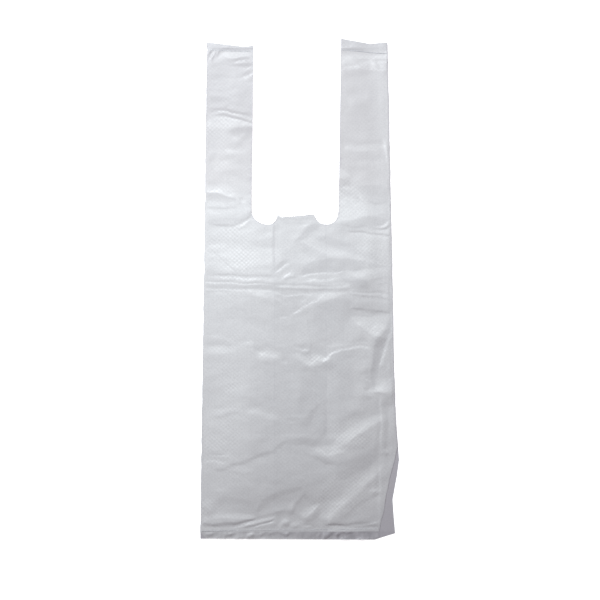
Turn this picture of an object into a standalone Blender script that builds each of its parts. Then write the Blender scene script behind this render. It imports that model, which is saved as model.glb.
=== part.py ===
"""Vest carrier bag of thin white film, lying flat on its back panel.

The real bag is one blown tube of film. The tube is folded in at both sides to make gussets, sealed
straight across at both ends, and then one die cuts the mouth out of all its layers, which leaves the
two handles. The model is made in the same order: folded tube, seals, die cut.

Sizes are in metres. They are laid out from the bag's bottom left corner, with x across the bag and
y up towards the handles, and the finished bag is then centred on the origin.
"""

import math

import bmesh
import bpy

MM = 0.001

# Overall size of the bag as it lies
BAG_LENGTH = 502 * MM
TOP_WIDTH = 180.5 * MM
LEFT_LEAN = 7 * MM
LEFT_GUSSET_DEPTH = 72 * MM
RIGHT_GUSSET_DEPTH = 63 * MM

# The film. The real one is far thinner, and this is the least that makes a sound solid.
FILM = 0.3 * MM
PLY_GAP = 0.4 * MM
PLY_PITCH = FILM + PLY_GAP
FOLD_RADIUS = PLY_PITCH / 2
PLIES_ABOVE_BACK = 3

# Air left in the bag lifts the front panel by this much, less in the flat handles and at the fold
BELLY_RISE = 6.0 * MM
BELLY_EDGE_REACH = 55 * MM
BELLY_SEAL_REACH = 60 * MM
HANDLE_SHARE = 0.2
HANDLE_FALL_START = 300 * MM
HANDLE_FALL_END = 372 * MM
FOLD_SHARE = 0.75

# Heat seals, each a bar across every layer, and the skirts of film left outside them
SEAL_WIDTH = 3 * MM
BOTTOM_SKIRT = 9 * MM
TOP_SKIRT = 12 * MM

# The mouth, which the die cuts parallel to the left edge
HANDLE_WIDTH = 47 * MM
MOUTH_WIDTH = 87 * MM
MOUTH_BOTTOM = 316 * MM
LOBE_WIDTH = 26.5 * MM
LOBE_OUTER_RADIUS = 11 * MM
LOBE_INNER_RADIUS = 9.5 * MM
TAB_NOTCH_DEPTH = 3 * MM
TAB_NOTCH_OFFSET = 4 * MM
CUTTER_MARGIN = 20 * MM

# Crease where the bag was folded in half for its packet: two ridges with a groove between them
CROSS_FOLD_Y = 252.5 * MM
CROSS_FOLD_HALF_WIDTH = 11 * MM
CROSS_FOLD_RIDGE = 0.9 * MM
CROSS_FOLD_GROOVE = -0.4 * MM
CROSS_FOLD_REACH = 26 * MM

# Right edges of the front and back panels as (height above the bottom edge, x). Near the bottom the
# front panel has drawn in, and the back panel shows past it.
TOP_RIGHT = TOP_WIDTH + LEFT_LEAN
FRONT_RIGHT_EDGE = (
    (8 * MM, 179.5 * MM),
    (30 * MM, 184.5 * MM),
    (55 * MM, 189 * MM),
    (75 * MM, 194 * MM),
    (93 * MM, 198 * MM),
    (120 * MM, 196 * MM),
    (170 * MM, 194.3 * MM),
    (290 * MM, 192 * MM),
    (380 * MM, 190 * MM),
    (BAG_LENGTH, TOP_RIGHT),
)
BACK_RIGHT_EDGE = (
    (7 * MM, 195.5 * MM),
    (25 * MM, 194 * MM),
    (40 * MM, 193 * MM),
    (65 * MM, 197.5 * MM),
    (80 * MM, 199.5 * MM),
    (93 * MM, 198.5 * MM),
    (120 * MM, 196 * MM),
    (170 * MM, 194.3 * MM),
    (290 * MM, 192 * MM),
    (380 * MM, 190 * MM),
    (BAG_LENGTH, TOP_RIGHT),
)

# How far the cut ends lie inside the bag's full length, as (x, distance)
TOP_DROP = (
    (LEFT_LEAN, 5 * MM),
    (LEFT_LEAN + HANDLE_WIDTH, 8 * MM),
    (LEFT_LEAN + HANDLE_WIDTH + MOUTH_WIDTH, 0),
    (TOP_RIGHT - 15 * MM, 5.5 * MM),
    (TOP_RIGHT, 4.5 * MM),
)
BOTTOM_RISE = ((0, 1 * MM), (175 * MM, 0), (195 * MM, 6 * MM))

# Creases pressed into the front panel: two ends, height (below zero for a valley) and half width
CREASES = (
    ((6, 427), (53, 420), 0.8, 9),
    ((5, 349), (42, 340), 0.9, 10),
    ((8, 320), (48, 316), -1.0, 9),
    ((140, 352), (160, 330), 1.0, 10),
    ((148, 318), (186, 314), -1.2, 10),
    ((98, 298), (118, 316), -1.2, 10),
    ((102, 272), (178, 276), -1.4, 11),
    ((118, 306), (176, 284), -1.0, 10),
    ((92, 226), (150, 244), 1.0, 10),
    ((152, 229), (192, 226), -1.8, 9),
    ((152, 221), (172, 206), 1.6, 10),
    ((188, 216), (174, 192), -1.6, 10),
    ((174, 192), (173, 158), -1.6, 10),
    ((166, 150), (185, 149), 1.2, 9),
    ((4, 203), (36, 200), 0.9, 10),
    ((55, 187), (80, 184), 1.2, 10),
    ((120, 180), (145, 192), 1.3, 9),
    ((145, 192), (168, 192), 1.3, 9),
    ((4, 128), (56, 130), 0.8, 10),
    ((56, 130), (100, 124), 0.8, 9),
    ((14, 70), (50, 84), -1.4, 10),
    ((50, 84), (84, 98), -1.4, 10),
    ((84, 98), (112, 97), -1.2, 10),
    ((128, 88), (144, 90), 1.3, 9),
    ((136, 104), (180, 124), 1.5, 10),
    ((126, 30), (180, 72), 1.6, 11),
    ((58, 32), (92, 50), -1.2, 11),
    ((100, 26), (118, 38), 1.2, 10),
    ((28, 14), (74, 23), 1.0, 9),
)
CREASE_END_FADE = 8 * MM
DENT_SHARE = 0.7

# Mesh spacing across and along the bag
FRONT_STEPS = 21
BACK_STEPS = 9
GUSSET_STEPS = 4
ROW_STEP = 12.5 * MM
ARC_STEPS = 6

HALF_TURN = math.pi


def between(points, at):
    """The value at a place along a line of (place, value) points, level past both its ends."""
    if at <= points[0][0]:
        return points[0][1]
    for (start, low), (end, high) in zip(points, points[1:]):
        if at <= end:
            return low + (high - low) * (at - start) / (end - start)
    return points[-1][1]


def ramp(at, start, end):
    """0 before start, 1 after end, and a smooth rise between them."""
    share = min(1.0, max(0.0, (at - start) / (end - start)))
    return share * share * (3 - 2 * share)


def left_edge(y):
    return LEFT_LEAN * y / BAG_LENGTH


def right_edge(panel_edge, y):
    return between(panel_edge, y)


def left_inner_fold():
    return LEFT_LEAN / 2 + LEFT_GUSSET_DEPTH


def right_inner_fold():
    return TOP_RIGHT - RIGHT_GUSSET_DEPTH


def seal_centres():
    return BOTTOM_SKIRT + SEAL_WIDTH / 2, BAG_LENGTH - TOP_SKIRT - SEAL_WIDTH / 2


def belly(x, y):
    """How much of BELLY_RISE there is at a point, from 0 at the seals and side folds to 1."""
    low_seal, high_seal = seal_centres()
    across = ramp(x - left_edge(y), 0, BELLY_EDGE_REACH)
    across *= ramp(right_edge(FRONT_RIGHT_EDGE, y) - x, 0, BELLY_EDGE_REACH)
    along = ramp(y - low_seal, SEAL_WIDTH, BELLY_SEAL_REACH)
    along *= ramp(high_seal - y, SEAL_WIDTH, BELLY_SEAL_REACH)
    flat_handle = 1 - (1 - HANDLE_SHARE) * ramp(y, HANDLE_FALL_START, HANDLE_FALL_END)
    pinch = 1 - (1 - FOLD_SHARE) * (1 - ramp(abs(y - CROSS_FOLD_Y), 0, CROSS_FOLD_REACH))
    return across * along * flat_handle * pinch


def crease_height(x, y):
    """Sum of the pressed creases and the cross fold at a point of the front panel."""
    total = 0.0
    for start, end, height, half_width in CREASES:
        x0, y0, x1, y1 = (value * MM for value in (*start, *end))
        length = math.hypot(x1 - x0, y1 - y0)
        along = ((x - x0) * (x1 - x0) + (y - y0) * (y1 - y0)) / length
        aside = abs((x - x0) * (y1 - y0) - (y - y0) * (x1 - x0)) / length
        fade = ramp(along, -CREASE_END_FADE, CREASE_END_FADE)
        fade *= ramp(length - along, -CREASE_END_FADE, CREASE_END_FADE)
        total += height * MM * fade * max(0.0, 1 - aside / (half_width * MM))
    return total


def cross_fold_height(y):
    half = CROSS_FOLD_HALF_WIDTH
    profile = (
        (-half, 0),
        (-half / 2, CROSS_FOLD_RIDGE),
        (0, CROSS_FOLD_GROOVE),
        (half / 2, CROSS_FOLD_RIDGE),
        (half, 0),
    )
    return between(profile, y - CROSS_FOLD_Y)


def edge_mask(x, y):
    """0 at the side folds and seals, where the layers lie tight together, and 1 away from them."""
    low_seal, high_seal = seal_centres()
    clear = min(
        x - left_edge(y),
        right_edge(FRONT_RIGHT_EDGE, y) - x,
        abs(y - low_seal) - SEAL_WIDTH,
        abs(high_seal - y) - SEAL_WIDTH,
    )
    return ramp(clear, FOLD_RADIUS, 8 * MM)


def back_height():
    return FILM / 2


def smooth_front_height(x, y):
    return back_height() + PLIES_ABOVE_BACK * PLY_PITCH + BELLY_RISE * belly(x, y)


def front_height(x, y):
    """The front panel, whose dents stop short of the gusset under it."""
    room_below = DENT_SHARE * BELLY_RISE * belly(x, y) / 2
    relief = (crease_height(x, y) + cross_fold_height(y)) * edge_mask(x, y)
    return smooth_front_height(x, y) + max(relief, -room_below)


def gusset_height(x, y):
    """Halfway between the two panels, where the gusset's two leaves lie together."""
    return (back_height() + smooth_front_height(x, y)) / 2


def spaced(start, end, count):
    """Evenly spaced values after start, up to and including end."""
    return [start + (end - start) * (i + 1) / count for i in range(count)]


def row_heights():
    """Rows of the mesh up the bag: close together at the seals and the cross fold."""
    low_seal, high_seal = seal_centres()
    half = CROSS_FOLD_HALF_WIDTH
    stops = [0, low_seal - SEAL_WIDTH, low_seal + SEAL_WIDTH]
    stops += [CROSS_FOLD_Y + share * half for share in (-1, -0.5, 0, 0.5, 1)]
    stops += [high_seal - SEAL_WIDTH, high_seal + SEAL_WIDTH, BAG_LENGTH]
    rows = [0.0]
    for start, end in zip(stops, stops[1:]):
        rows += spaced(start, end, max(1, round((end - start) / ROW_STEP)))
    return rows


def end_trimmed(x, y):
    """The height of a row at x, with the rows outside the seals drawn in to the slanting cut ends."""
    low_seal, high_seal = seal_centres()
    top_start, bottom_start = high_seal + SEAL_WIDTH, low_seal - SEAL_WIDTH
    if y > top_start:
        return y - between(TOP_DROP, x) * (y - top_start) / (BAG_LENGTH - top_start)
    if y < bottom_start:
        return y + between(BOTTOM_RISE, x) * (bottom_start - y) / bottom_start
    return y


def run(x_from, x_to, steps, height, y):
    """Points of one layer from side to side, without its last point."""
    places = [x_from] + spaced(x_from, x_to, steps)
    return [(x, height(x, y)) for x in places]


def section(y):
    """The folded tube cut across at y, as one closed ring of (x, z) points."""
    radius = FOLD_RADIUS
    left = left_edge(y) + radius
    front_right = right_edge(FRONT_RIGHT_EDGE, y) - radius
    back_right = right_edge(BACK_RIGHT_EDGE, y) - radius
    left_inner = left_inner_fold() - radius
    right_inner = right_inner_fold() + radius
    back = back_height()
    front_edge = back + PLIES_ABOVE_BACK * PLY_PITCH

    def upper_leaf(x, y):
        return gusset_height(x, y) + radius

    def lower_leaf(x, y):
        return gusset_height(x, y) - radius

    def flat_back(x, y):
        return back

    ring = run(left, front_right, FRONT_STEPS, front_height, y)
    ring += [(front_right + radius, front_edge - radius)]
    ring += run(front_right, right_inner, GUSSET_STEPS, upper_leaf, y)
    ring += [(right_inner - radius, gusset_height(right_inner, y))]
    ring += run(right_inner, back_right, GUSSET_STEPS, lower_leaf, y)
    ring += [(back_right + radius, back + radius)]
    ring += run(back_right, left, BACK_STEPS, flat_back, y)
    ring += [(left - radius, back + radius)]
    ring += run(left, left_inner, GUSSET_STEPS, lower_leaf, y)
    ring += [(left_inner + radius, gusset_height(left_inner, y))]
    ring += run(left_inner, left, GUSSET_STEPS, upper_leaf, y)
    ring += [(left - radius, front_edge - radius)]
    return ring


def plan_centre():
    """The middle of the bag's outline, which becomes the origin."""
    widest = max(right_edge(BACK_RIGHT_EDGE, y) for y in row_heights())
    return widest / 2, BAG_LENGTH / 2


def placed(x, y, z):
    centre_x, centre_y = plan_centre()
    return (x - centre_x, y - centre_y, z)


def object_from(name, bm):
    mesh = bpy.data.meshes.new(name)
    bm.to_mesh(mesh)
    bm.free()
    made = bpy.data.objects.new(name, mesh)
    bpy.context.scene.collection.objects.link(made)
    return made


def folded_tube(name):
    """The film's middle surface: the same ring of points in every row, joined by faces."""
    bm = bmesh.new()
    rows = []
    for y in row_heights():
        rows.append([bm.verts.new(placed(x, end_trimmed(x, y), z)) for x, z in section(y)])
    for low, high in zip(rows, rows[1:]):
        for i in range(len(low)):
            j = (i + 1) % len(low)
            bm.faces.new((low[i], low[j], high[j], high[i]))
    bmesh.ops.recalc_face_normals(bm, faces=bm.faces)
    return object_from(name, bm)


def prism(name, outline, direction):
    """A closed solid from a flat outline of points swept along a vector."""
    bm = bmesh.new()
    base = bm.faces.new([bm.verts.new(point) for point in outline])
    swept = bmesh.ops.extrude_face_region(bm, geom=[base])["geom"]
    corners = [item for item in swept if isinstance(item, bmesh.types.BMVert)]
    bmesh.ops.translate(bm, verts=corners, vec=direction)
    bmesh.ops.recalc_face_normals(bm, faces=bm.faces)
    return object_from(name, bm)


def seal_bar(name, y):
    """A heat seal: film melted together between the middles of the outer layers."""
    low, next_up = back_height(), back_height() + PLY_PITCH
    high = back_height() + PLIES_ABOVE_BACK * PLY_PITCH
    left = left_edge(y)
    front_right = right_edge(FRONT_RIGHT_EDGE, y)
    back_right = max(right_edge(BACK_RIGHT_EDGE, y), front_right + FOLD_RADIUS)
    corners = (
        (left, low),
        (back_right, low),
        (back_right, next_up),
        (front_right, next_up),
        (front_right, high),
        (left, high),
    )
    start = y - SEAL_WIDTH / 2
    return prism(name, [placed(x, start, z) for x, z in corners], (0, SEAL_WIDTH, 0))


def arc(centre_u, centre_y, radius, start, end):
    """Points of a round corner, with angles counted from +u."""
    angles = [start + (end - start) * i / ARC_STEPS for i in range(ARC_STEPS + 1)]
    return [(centre_u + radius * math.cos(a), centre_y + radius * math.sin(a)) for a in angles]


def mouth_outline():
    """The die's outline: two handles' inner edges, a round lobe beside each, and the torn tab."""
    outer, inner = LOBE_OUTER_RADIUS, LOBE_INNER_RADIUS
    floor, top = MOUTH_BOTTOM, BAG_LENGTH + CUTTER_MARGIN
    quarter = HALF_TURN / 2
    points = [(0, top)]
    points += arc(outer, floor + outer, outer, HALF_TURN, HALF_TURN + quarter)
    points += arc(LOBE_WIDTH - inner, floor + inner, inner, -quarter, 0)
    points += [(LOBE_WIDTH + TAB_NOTCH_OFFSET, floor + inner - TAB_NOTCH_DEPTH)]
    right_lobe = MOUTH_WIDTH - LOBE_WIDTH
    points += arc(right_lobe + inner, floor + inner, inner, HALF_TURN, HALF_TURN + quarter)
    points += arc(MOUTH_WIDTH - outer, floor + outer, outer, -quarter, 0)
    points += [(MOUTH_WIDTH, top)]
    return [(left_edge(y) + HANDLE_WIDTH + u, y) for u, y in points]


def mouth_cutter(name):
    height = 2 * CUTTER_MARGIN + BELLY_RISE
    outline = [placed(x, y, -CUTTER_MARGIN) for x, y in mouth_outline()]
    return prism(name, outline, (0, 0, height))


def as_tool(tool):
    """Cutters and bars only shape the bag, so they aren't rendered."""
    tool.hide_render = True
    tool.display_type = "WIRE"
    return tool


def combine(target, tool, operation):
    boolean = target.modifiers.new(tool.name, "BOOLEAN")
    boolean.operation = operation
    boolean.object = as_tool(tool)
    boolean.solver = "EXACT"


def white_film():
    material = bpy.data.materials.new("white_hdpe_film")
    material.use_nodes = True
    shader = material.node_tree.nodes["Principled BSDF"]
    shader.inputs["Base Color"].default_value = (0.72, 0.73, 0.75, 1.0)
    shader.inputs["Roughness"].default_value = 0.38
    shader.inputs["Metallic"].default_value = 0.0
    return material


def carrier_bag():
    bag = folded_tube("carrier_bag")
    wall = bag.modifiers.new("film_thickness", "SOLIDIFY")
    wall.thickness = FILM
    wall.offset = 0
    wall.use_even_offset = True
    low_seal, high_seal = seal_centres()
    combine(bag, seal_bar("bottom_seal_bar", low_seal), "UNION")
    combine(bag, seal_bar("handle_seal_bar", high_seal), "UNION")
    combine(bag, mouth_cutter("mouth_die"), "DIFFERENCE")
    bag.data.materials.append(white_film())
    return bag


for old in list(bpy.data.objects):
    bpy.data.objects.remove(old)
carrier_bag()
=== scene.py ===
# %% [markdown]
# # A vest carrier bag of thin white film
#
# The bag lies flat on its back, seen from straight above. It is one blown tube of high-density
# polyethylene (HDPE) film. The maker tucks both sides of the tube inwards to make gussets, melts it
# shut across both ends, and then stamps the mouth out of all the layers with one die, which leaves
# the two handles.
#
# This lesson makes it in the same order: the folded tube, its creases, the die cut, the seals, and
# then the film's own finish. Almost everything that the eye reads as "plastic bag" is creases, so
# most of the work goes there.

import math

import bpy
import numpy as np
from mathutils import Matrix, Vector


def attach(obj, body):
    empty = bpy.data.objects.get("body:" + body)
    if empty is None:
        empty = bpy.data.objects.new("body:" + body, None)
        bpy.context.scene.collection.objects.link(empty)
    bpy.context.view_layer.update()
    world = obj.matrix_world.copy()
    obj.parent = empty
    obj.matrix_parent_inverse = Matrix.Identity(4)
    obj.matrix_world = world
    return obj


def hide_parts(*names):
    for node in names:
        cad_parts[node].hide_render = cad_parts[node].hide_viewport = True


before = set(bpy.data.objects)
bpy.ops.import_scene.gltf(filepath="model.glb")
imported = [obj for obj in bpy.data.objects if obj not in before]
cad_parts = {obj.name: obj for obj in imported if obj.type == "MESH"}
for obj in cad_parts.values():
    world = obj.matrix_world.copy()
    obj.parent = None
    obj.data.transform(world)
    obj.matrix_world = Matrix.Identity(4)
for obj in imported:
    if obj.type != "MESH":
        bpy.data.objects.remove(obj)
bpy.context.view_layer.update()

# %% [markdown]
# ## A cutting mat to measure on
#
# A bag maker lays the bag on a cutting mat and measures everything from the mat's top left corner.
# We do the same: places are millimetres **across** and **down** a 600 mm mat, and heights are
# millimetres above it. One function turns a place on the mat into metres in the frame. Whole arrays
# of places go through it as easily as one, because numpy does the sums.

# %% From the mat to the frame
MM = 0.001
MAT_ACROSS = 299.75
MAT_DOWN = 289.0


def in_frame(across, down, height):
    """Places on the mat, in mm, as rows of x, y and z in metres in the frame."""
    x = (np.asarray(across, float) - MAT_ACROSS) * MM
    y = (MAT_DOWN - np.asarray(down, float)) * MM
    z = np.asarray(height, float) * MM
    return np.stack(np.broadcast_arrays(x, y, z), axis=-1)


def rise(at, start, end):
    """0 before start, 1 after end, and a smooth climb between them."""
    share = np.clip((at - start) / (end - start), 0.0, 1.0)
    return share * share * (3 - 2 * share)


print("The mat's corner is at", in_frame(0, 0, 0))

# %% [markdown]
# ## One helper for every node
#
# Both materials and Geometry Nodes are trees of nodes. One function adds a node of any kind, sets
# it up, and fills its inputs, each with a plain value, with another node's output, or with a whole
# node, which stands for its first output. A second one turns a colour as a painter writes it (sRGB
# hex) into the linear numbers that a shader wants.

# %% Nodes and colours


def add(tree, kind, inputs=None, **settings):
    """Add a node. inputs maps a socket's name or number to a value, a socket or a whole node."""
    node = tree.nodes.new(kind)
    for setting, value in settings.items():
        setattr(node, setting, value)
    for key, value in (inputs or {}).items():
        if isinstance(value, bpy.types.Node):
            value = next(output for output in value.outputs if output.enabled)
        if isinstance(value, bpy.types.NodeSocket):
            tree.links.new(value, node.inputs[key])
        else:
            node.inputs[key].default_value = value
    return node


def colour(code):
    """An sRGB hex colour as linear red, green, blue and alpha."""
    parts = [int(code[i:i + 2], 16) / 255 for i in (1, 3, 5)]
    return [p / 12.92 if p <= 0.04045 else ((p + 0.055) / 1.055) ** 2.4 for p in parts] + [1.0]


print("Middle grey, #808080, is", [round(part, 3) for part in colour("#808080")])

# %% [markdown]
# ## Camera, table and light
#
# The camera hangs straight above the mat with a long lens, so the bag shows almost no perspective.
# Its distance is chosen so that the view is exactly the 600 mm mat.
#
# The table is a light table, as studios use for packshots: white, and glowing a little, so that it
# comes out pure white everywhere. It is far larger than the bag, so that its end stays out of sight
# in low views too. One soft lamp stands at the upper left, close enough that the
# light fades towards the lower right, as in the photograph. It is a little more than halfway up the
# sky, so creases that lean towards it catch a highlight. The pale world fills the shadows.
#
# Two helpers come first: one puts data into the scene as an object, and one makes a mesh for it.

# %% Objects in the scene


def in_scene(name, data):
    """A new object in the scene, at the origin, with a camera, light or mesh as its data."""
    made = bpy.data.objects.new(name, data)
    bpy.context.scene.collection.objects.link(made)
    return made


def mesh_piece(name, points, edges=(), faces=()):
    """A mesh object from points in metres, with edges or faces between them."""
    mesh = bpy.data.meshes.new(name)
    mesh.from_pydata(points, edges, faces)
    return in_scene(name, mesh)


# %% [markdown]
# The camera looks down from where it is made, so it needs no turning. The lamp is turned to its
# aim. Lengths are in metres here, and the power is in watts.

# %% Camera, table and light
LENS = 100
SENSOR = 36
VIEW_WIDTH = 0.6
FILM_TOP = 0.004
ROOM_LIGHT = 0.13
TABLE_GLOW = 0.8
TABLE = 8.0

camera = bpy.data.cameras.new("camera")
camera.lens = LENS
camera.sensor_width = SENSOR
camera_object = in_scene("camera", camera)
bpy.context.scene.camera = camera_object
middle_of_mat = in_frame(300, 300, 0)
camera_object.location = middle_of_mat + [0, 0, VIEW_WIDTH * LENS / SENSOR + FILM_TOP]
bpy.context.scene.view_settings.view_transform = "Standard"


def soft_lamp(name, place, aim, size, power):
    """A square lamp at a place, turned to face the aim."""
    light = bpy.data.lights.new(name, "AREA")
    light.color = colour("#f6fdff")[:3]
    light.size = size
    light.energy = power
    lamp = in_scene(name, light)
    lamp.location = place
    lamp.rotation_euler = (Vector(place) - Vector(aim)).to_track_quat("Z", "Y").to_euler()


soft_lamp("window", place=(-0.25, 0.50, 0.74), aim=(0.0, -0.05, 0.0), size=0.26, power=8.9)

world = bpy.data.worlds.new("pale_room")
world.use_nodes = True
room = world.node_tree.nodes["Background"]
room.inputs["Color"].default_value = colour("#ffe9f5")
room.inputs["Strength"].default_value = ROOM_LIGHT
bpy.context.scene.world = world

glow = bpy.data.materials.new("light_table_acrylic_opal")
glow.use_nodes = True
opal = glow.node_tree.nodes["Principled BSDF"]
opal.inputs["Base Color"].default_value = colour("#fafafa")
opal.inputs["Roughness"].default_value = 0.9
opal.inputs["Emission Color"].default_value = colour("#ffffff")
opal.inputs["Emission Strength"].default_value = TABLE_GLOW

corners = [(-TABLE, -TABLE, 0), (TABLE, -TABLE, 0), (TABLE, TABLE, 0), (-TABLE, TABLE, 0)]
table = mesh_piece("light_table", corners, faces=[(0, 1, 2, 3)])
table.data.materials.append(glow)
print("Camera at", [round(v, 4) for v in camera_object.location])

# %% [markdown]
# ## The bag's outline
#
# The left fold is almost straight. The right folds of the front and back panels run together down
# to about 90 mm above the bottom. There the front panel has drawn in, and a flap of the back panel
# shows past it. The ends are cut a little out of square, so the rows of film outside the seals are
# drawn in to those slanting cuts.

# %% Outline
TOP, BOTTOM = 38.0, 540.0
LEFT_TOP, LEFT_BOTTOM = 207.0, 200.0
FRONT_RIGHT = np.array([
    (38, 387.5), (160, 390), (250, 392), (370, 394.3), (420, 396), (440, 397.6), (448, 397.8),
    (456, 396.2), (465, 394), (475, 391.2), (485, 389), (510, 384.5), (532, 379.5)])
BACK_RIGHT = np.array([
    (38, 387.5), (160, 390), (250, 392), (370, 394.3), (420, 396), (447, 398.5), (460, 399.5),
    (475, 397.5), (500, 393), (515, 394), (533, 395.5)])
TOP_CUT = np.array([(207, 42), (245, 46.5), (253.5, 45), (340, 38), (370, 43.5), (386.5, 42)])
BOTTOM_CUT = np.array([(200, 539), (375, 540), (396, 533.6)])
TOP_SEAL, BOTTOM_SEAL = 51.5, 530.0
SEAL_HALF = 1.5


def left_fold(down):
    """How far across the left fold is, at a row."""
    return LEFT_BOTTOM + (LEFT_TOP - LEFT_BOTTOM) * (BOTTOM - down) / (BOTTOM - TOP)


def right_fold(panel, down):
    """How far across a panel's right fold is, at a row."""
    return np.interp(down, panel[:, 0], panel[:, 1])


def trimmed(across, down):
    """Rows beyond the seals, drawn in to the slanting cuts."""
    top_cut = np.interp(across, TOP_CUT[:, 0], TOP_CUT[:, 1]) - TOP
    bottom_cut = np.interp(across, BOTTOM_CUT[:, 0], BOTTOM_CUT[:, 1]) - BOTTOM
    top_start, bottom_start = TOP_SEAL - 2 * SEAL_HALF, BOTTOM_SEAL + 2 * SEAL_HALF
    drawn = down + top_cut * np.clip((top_start - down) / (top_start - TOP), 0, 1)
    return drawn + bottom_cut * np.clip((down - bottom_start) / (BOTTOM - bottom_start), 0, 1)


print("Width at the bottom:", right_fold(BACK_RIGHT, 533) - left_fold(533), "mm")

# %% [markdown]
# ## Air in the bag
#
# A flat bag is never quite flat. A little air holds the front panel off the back panel: most in the
# middle, none at the side folds and seals, little in the handles. Where the bag was once folded in
# half it still stands up in a low ridge, so the film above the fold faces the window, and the film
# below it turns away. The gusset's two leaves float halfway between the panels.
#
# Distances are in mm. The ones that say where something changes are counted from the cross fold,
# upwards above zero and downwards below it.

# %% Heights
FILM = 0.12
PITCH = 0.7
LOOP = PITCH / 2
LIFT = 4.2
REACH_IN = 58.0
REACH_LEFT = 34.0
REACH_RIGHT = 26.0
NARROWS_LEFT, NARROWS_RIGHT = (30, 90), (-30, 20)
HANDLES_FLATTER, FLATTENS = 0.6, (0, 130)
RIDGE, RIDGE_REACH = 0.3, 45
REACH_ALONG = 60.0
BACK = 0.09
CROSS_FOLD = 287.5
FLAP_CLOSER, SKIRT_CLOSER = 0.72, 0.5


def air(across, down):
    """Share of LIFT at a place: 0 at the seals and side folds, 1 in the fullest part."""
    above_fold = CROSS_FOLD - down
    reach_left = REACH_IN - (REACH_IN - REACH_LEFT) * rise(above_fold, *NARROWS_LEFT)
    share = rise(across - left_fold(down), 0, reach_left)
    reach_right = REACH_IN - (REACH_IN - REACH_RIGHT) * rise(above_fold, *NARROWS_RIGHT)
    share = share * rise(right_fold(FRONT_RIGHT, down) - across, 0, reach_right)
    share = share * rise(BOTTOM_SEAL - down, 2 * SEAL_HALF, REACH_ALONG)
    share = share * rise(down - TOP_SEAL, 2 * SEAL_HALF, REACH_ALONG)
    share = share * (1 - HANDLES_FLATTER * rise(above_fold, *FLATTENS))
    return share * (1 + RIDGE * (1 - rise(np.abs(above_fold), 0, RIDGE_REACH)))


def pitch(across, down):
    """The spacing of the layers, which lie closer beside the flap and in the bottom skirt."""
    closer = np.maximum(FLAP_CLOSER * rise(across, 345, 378) * rise(down, 425, 455),
                        SKIRT_CLOSER * rise(down, 530.5, 539))
    return PITCH * (1 - closer)


def calm_front(across, down):
    """The front panel's height before it is creased."""
    return BACK + 3 * pitch(across, down) + LIFT * air(across, down)


print("Highest calm film:", round(float(calm_front(290.0, 400.0)), 2), "mm")

# %% [markdown]
# ## Creases
#
# Thin film can't stretch, so it takes up every push by creasing. A crease is a strip that is tilted
# against the film around it. What we see is the tilt: a strip that faces the window is bright, and
# one that faces away is dark.
#
# So that is how we note them down, walking over the bag with a ruler. Each crease is a **slope**
# (above zero faces the window, below zero turns away), the width of its soft **flanks** in mm, and
# the line that it follows, as places **across, down** and the strip's **width** there.

# %% [markdown]
# ### On the handles
#
# Handles are pulled lengthwise and pinched by a hand, so their creases run across them. Most sit
# near the seals at the top, and where each handle widens into the bag.

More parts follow.
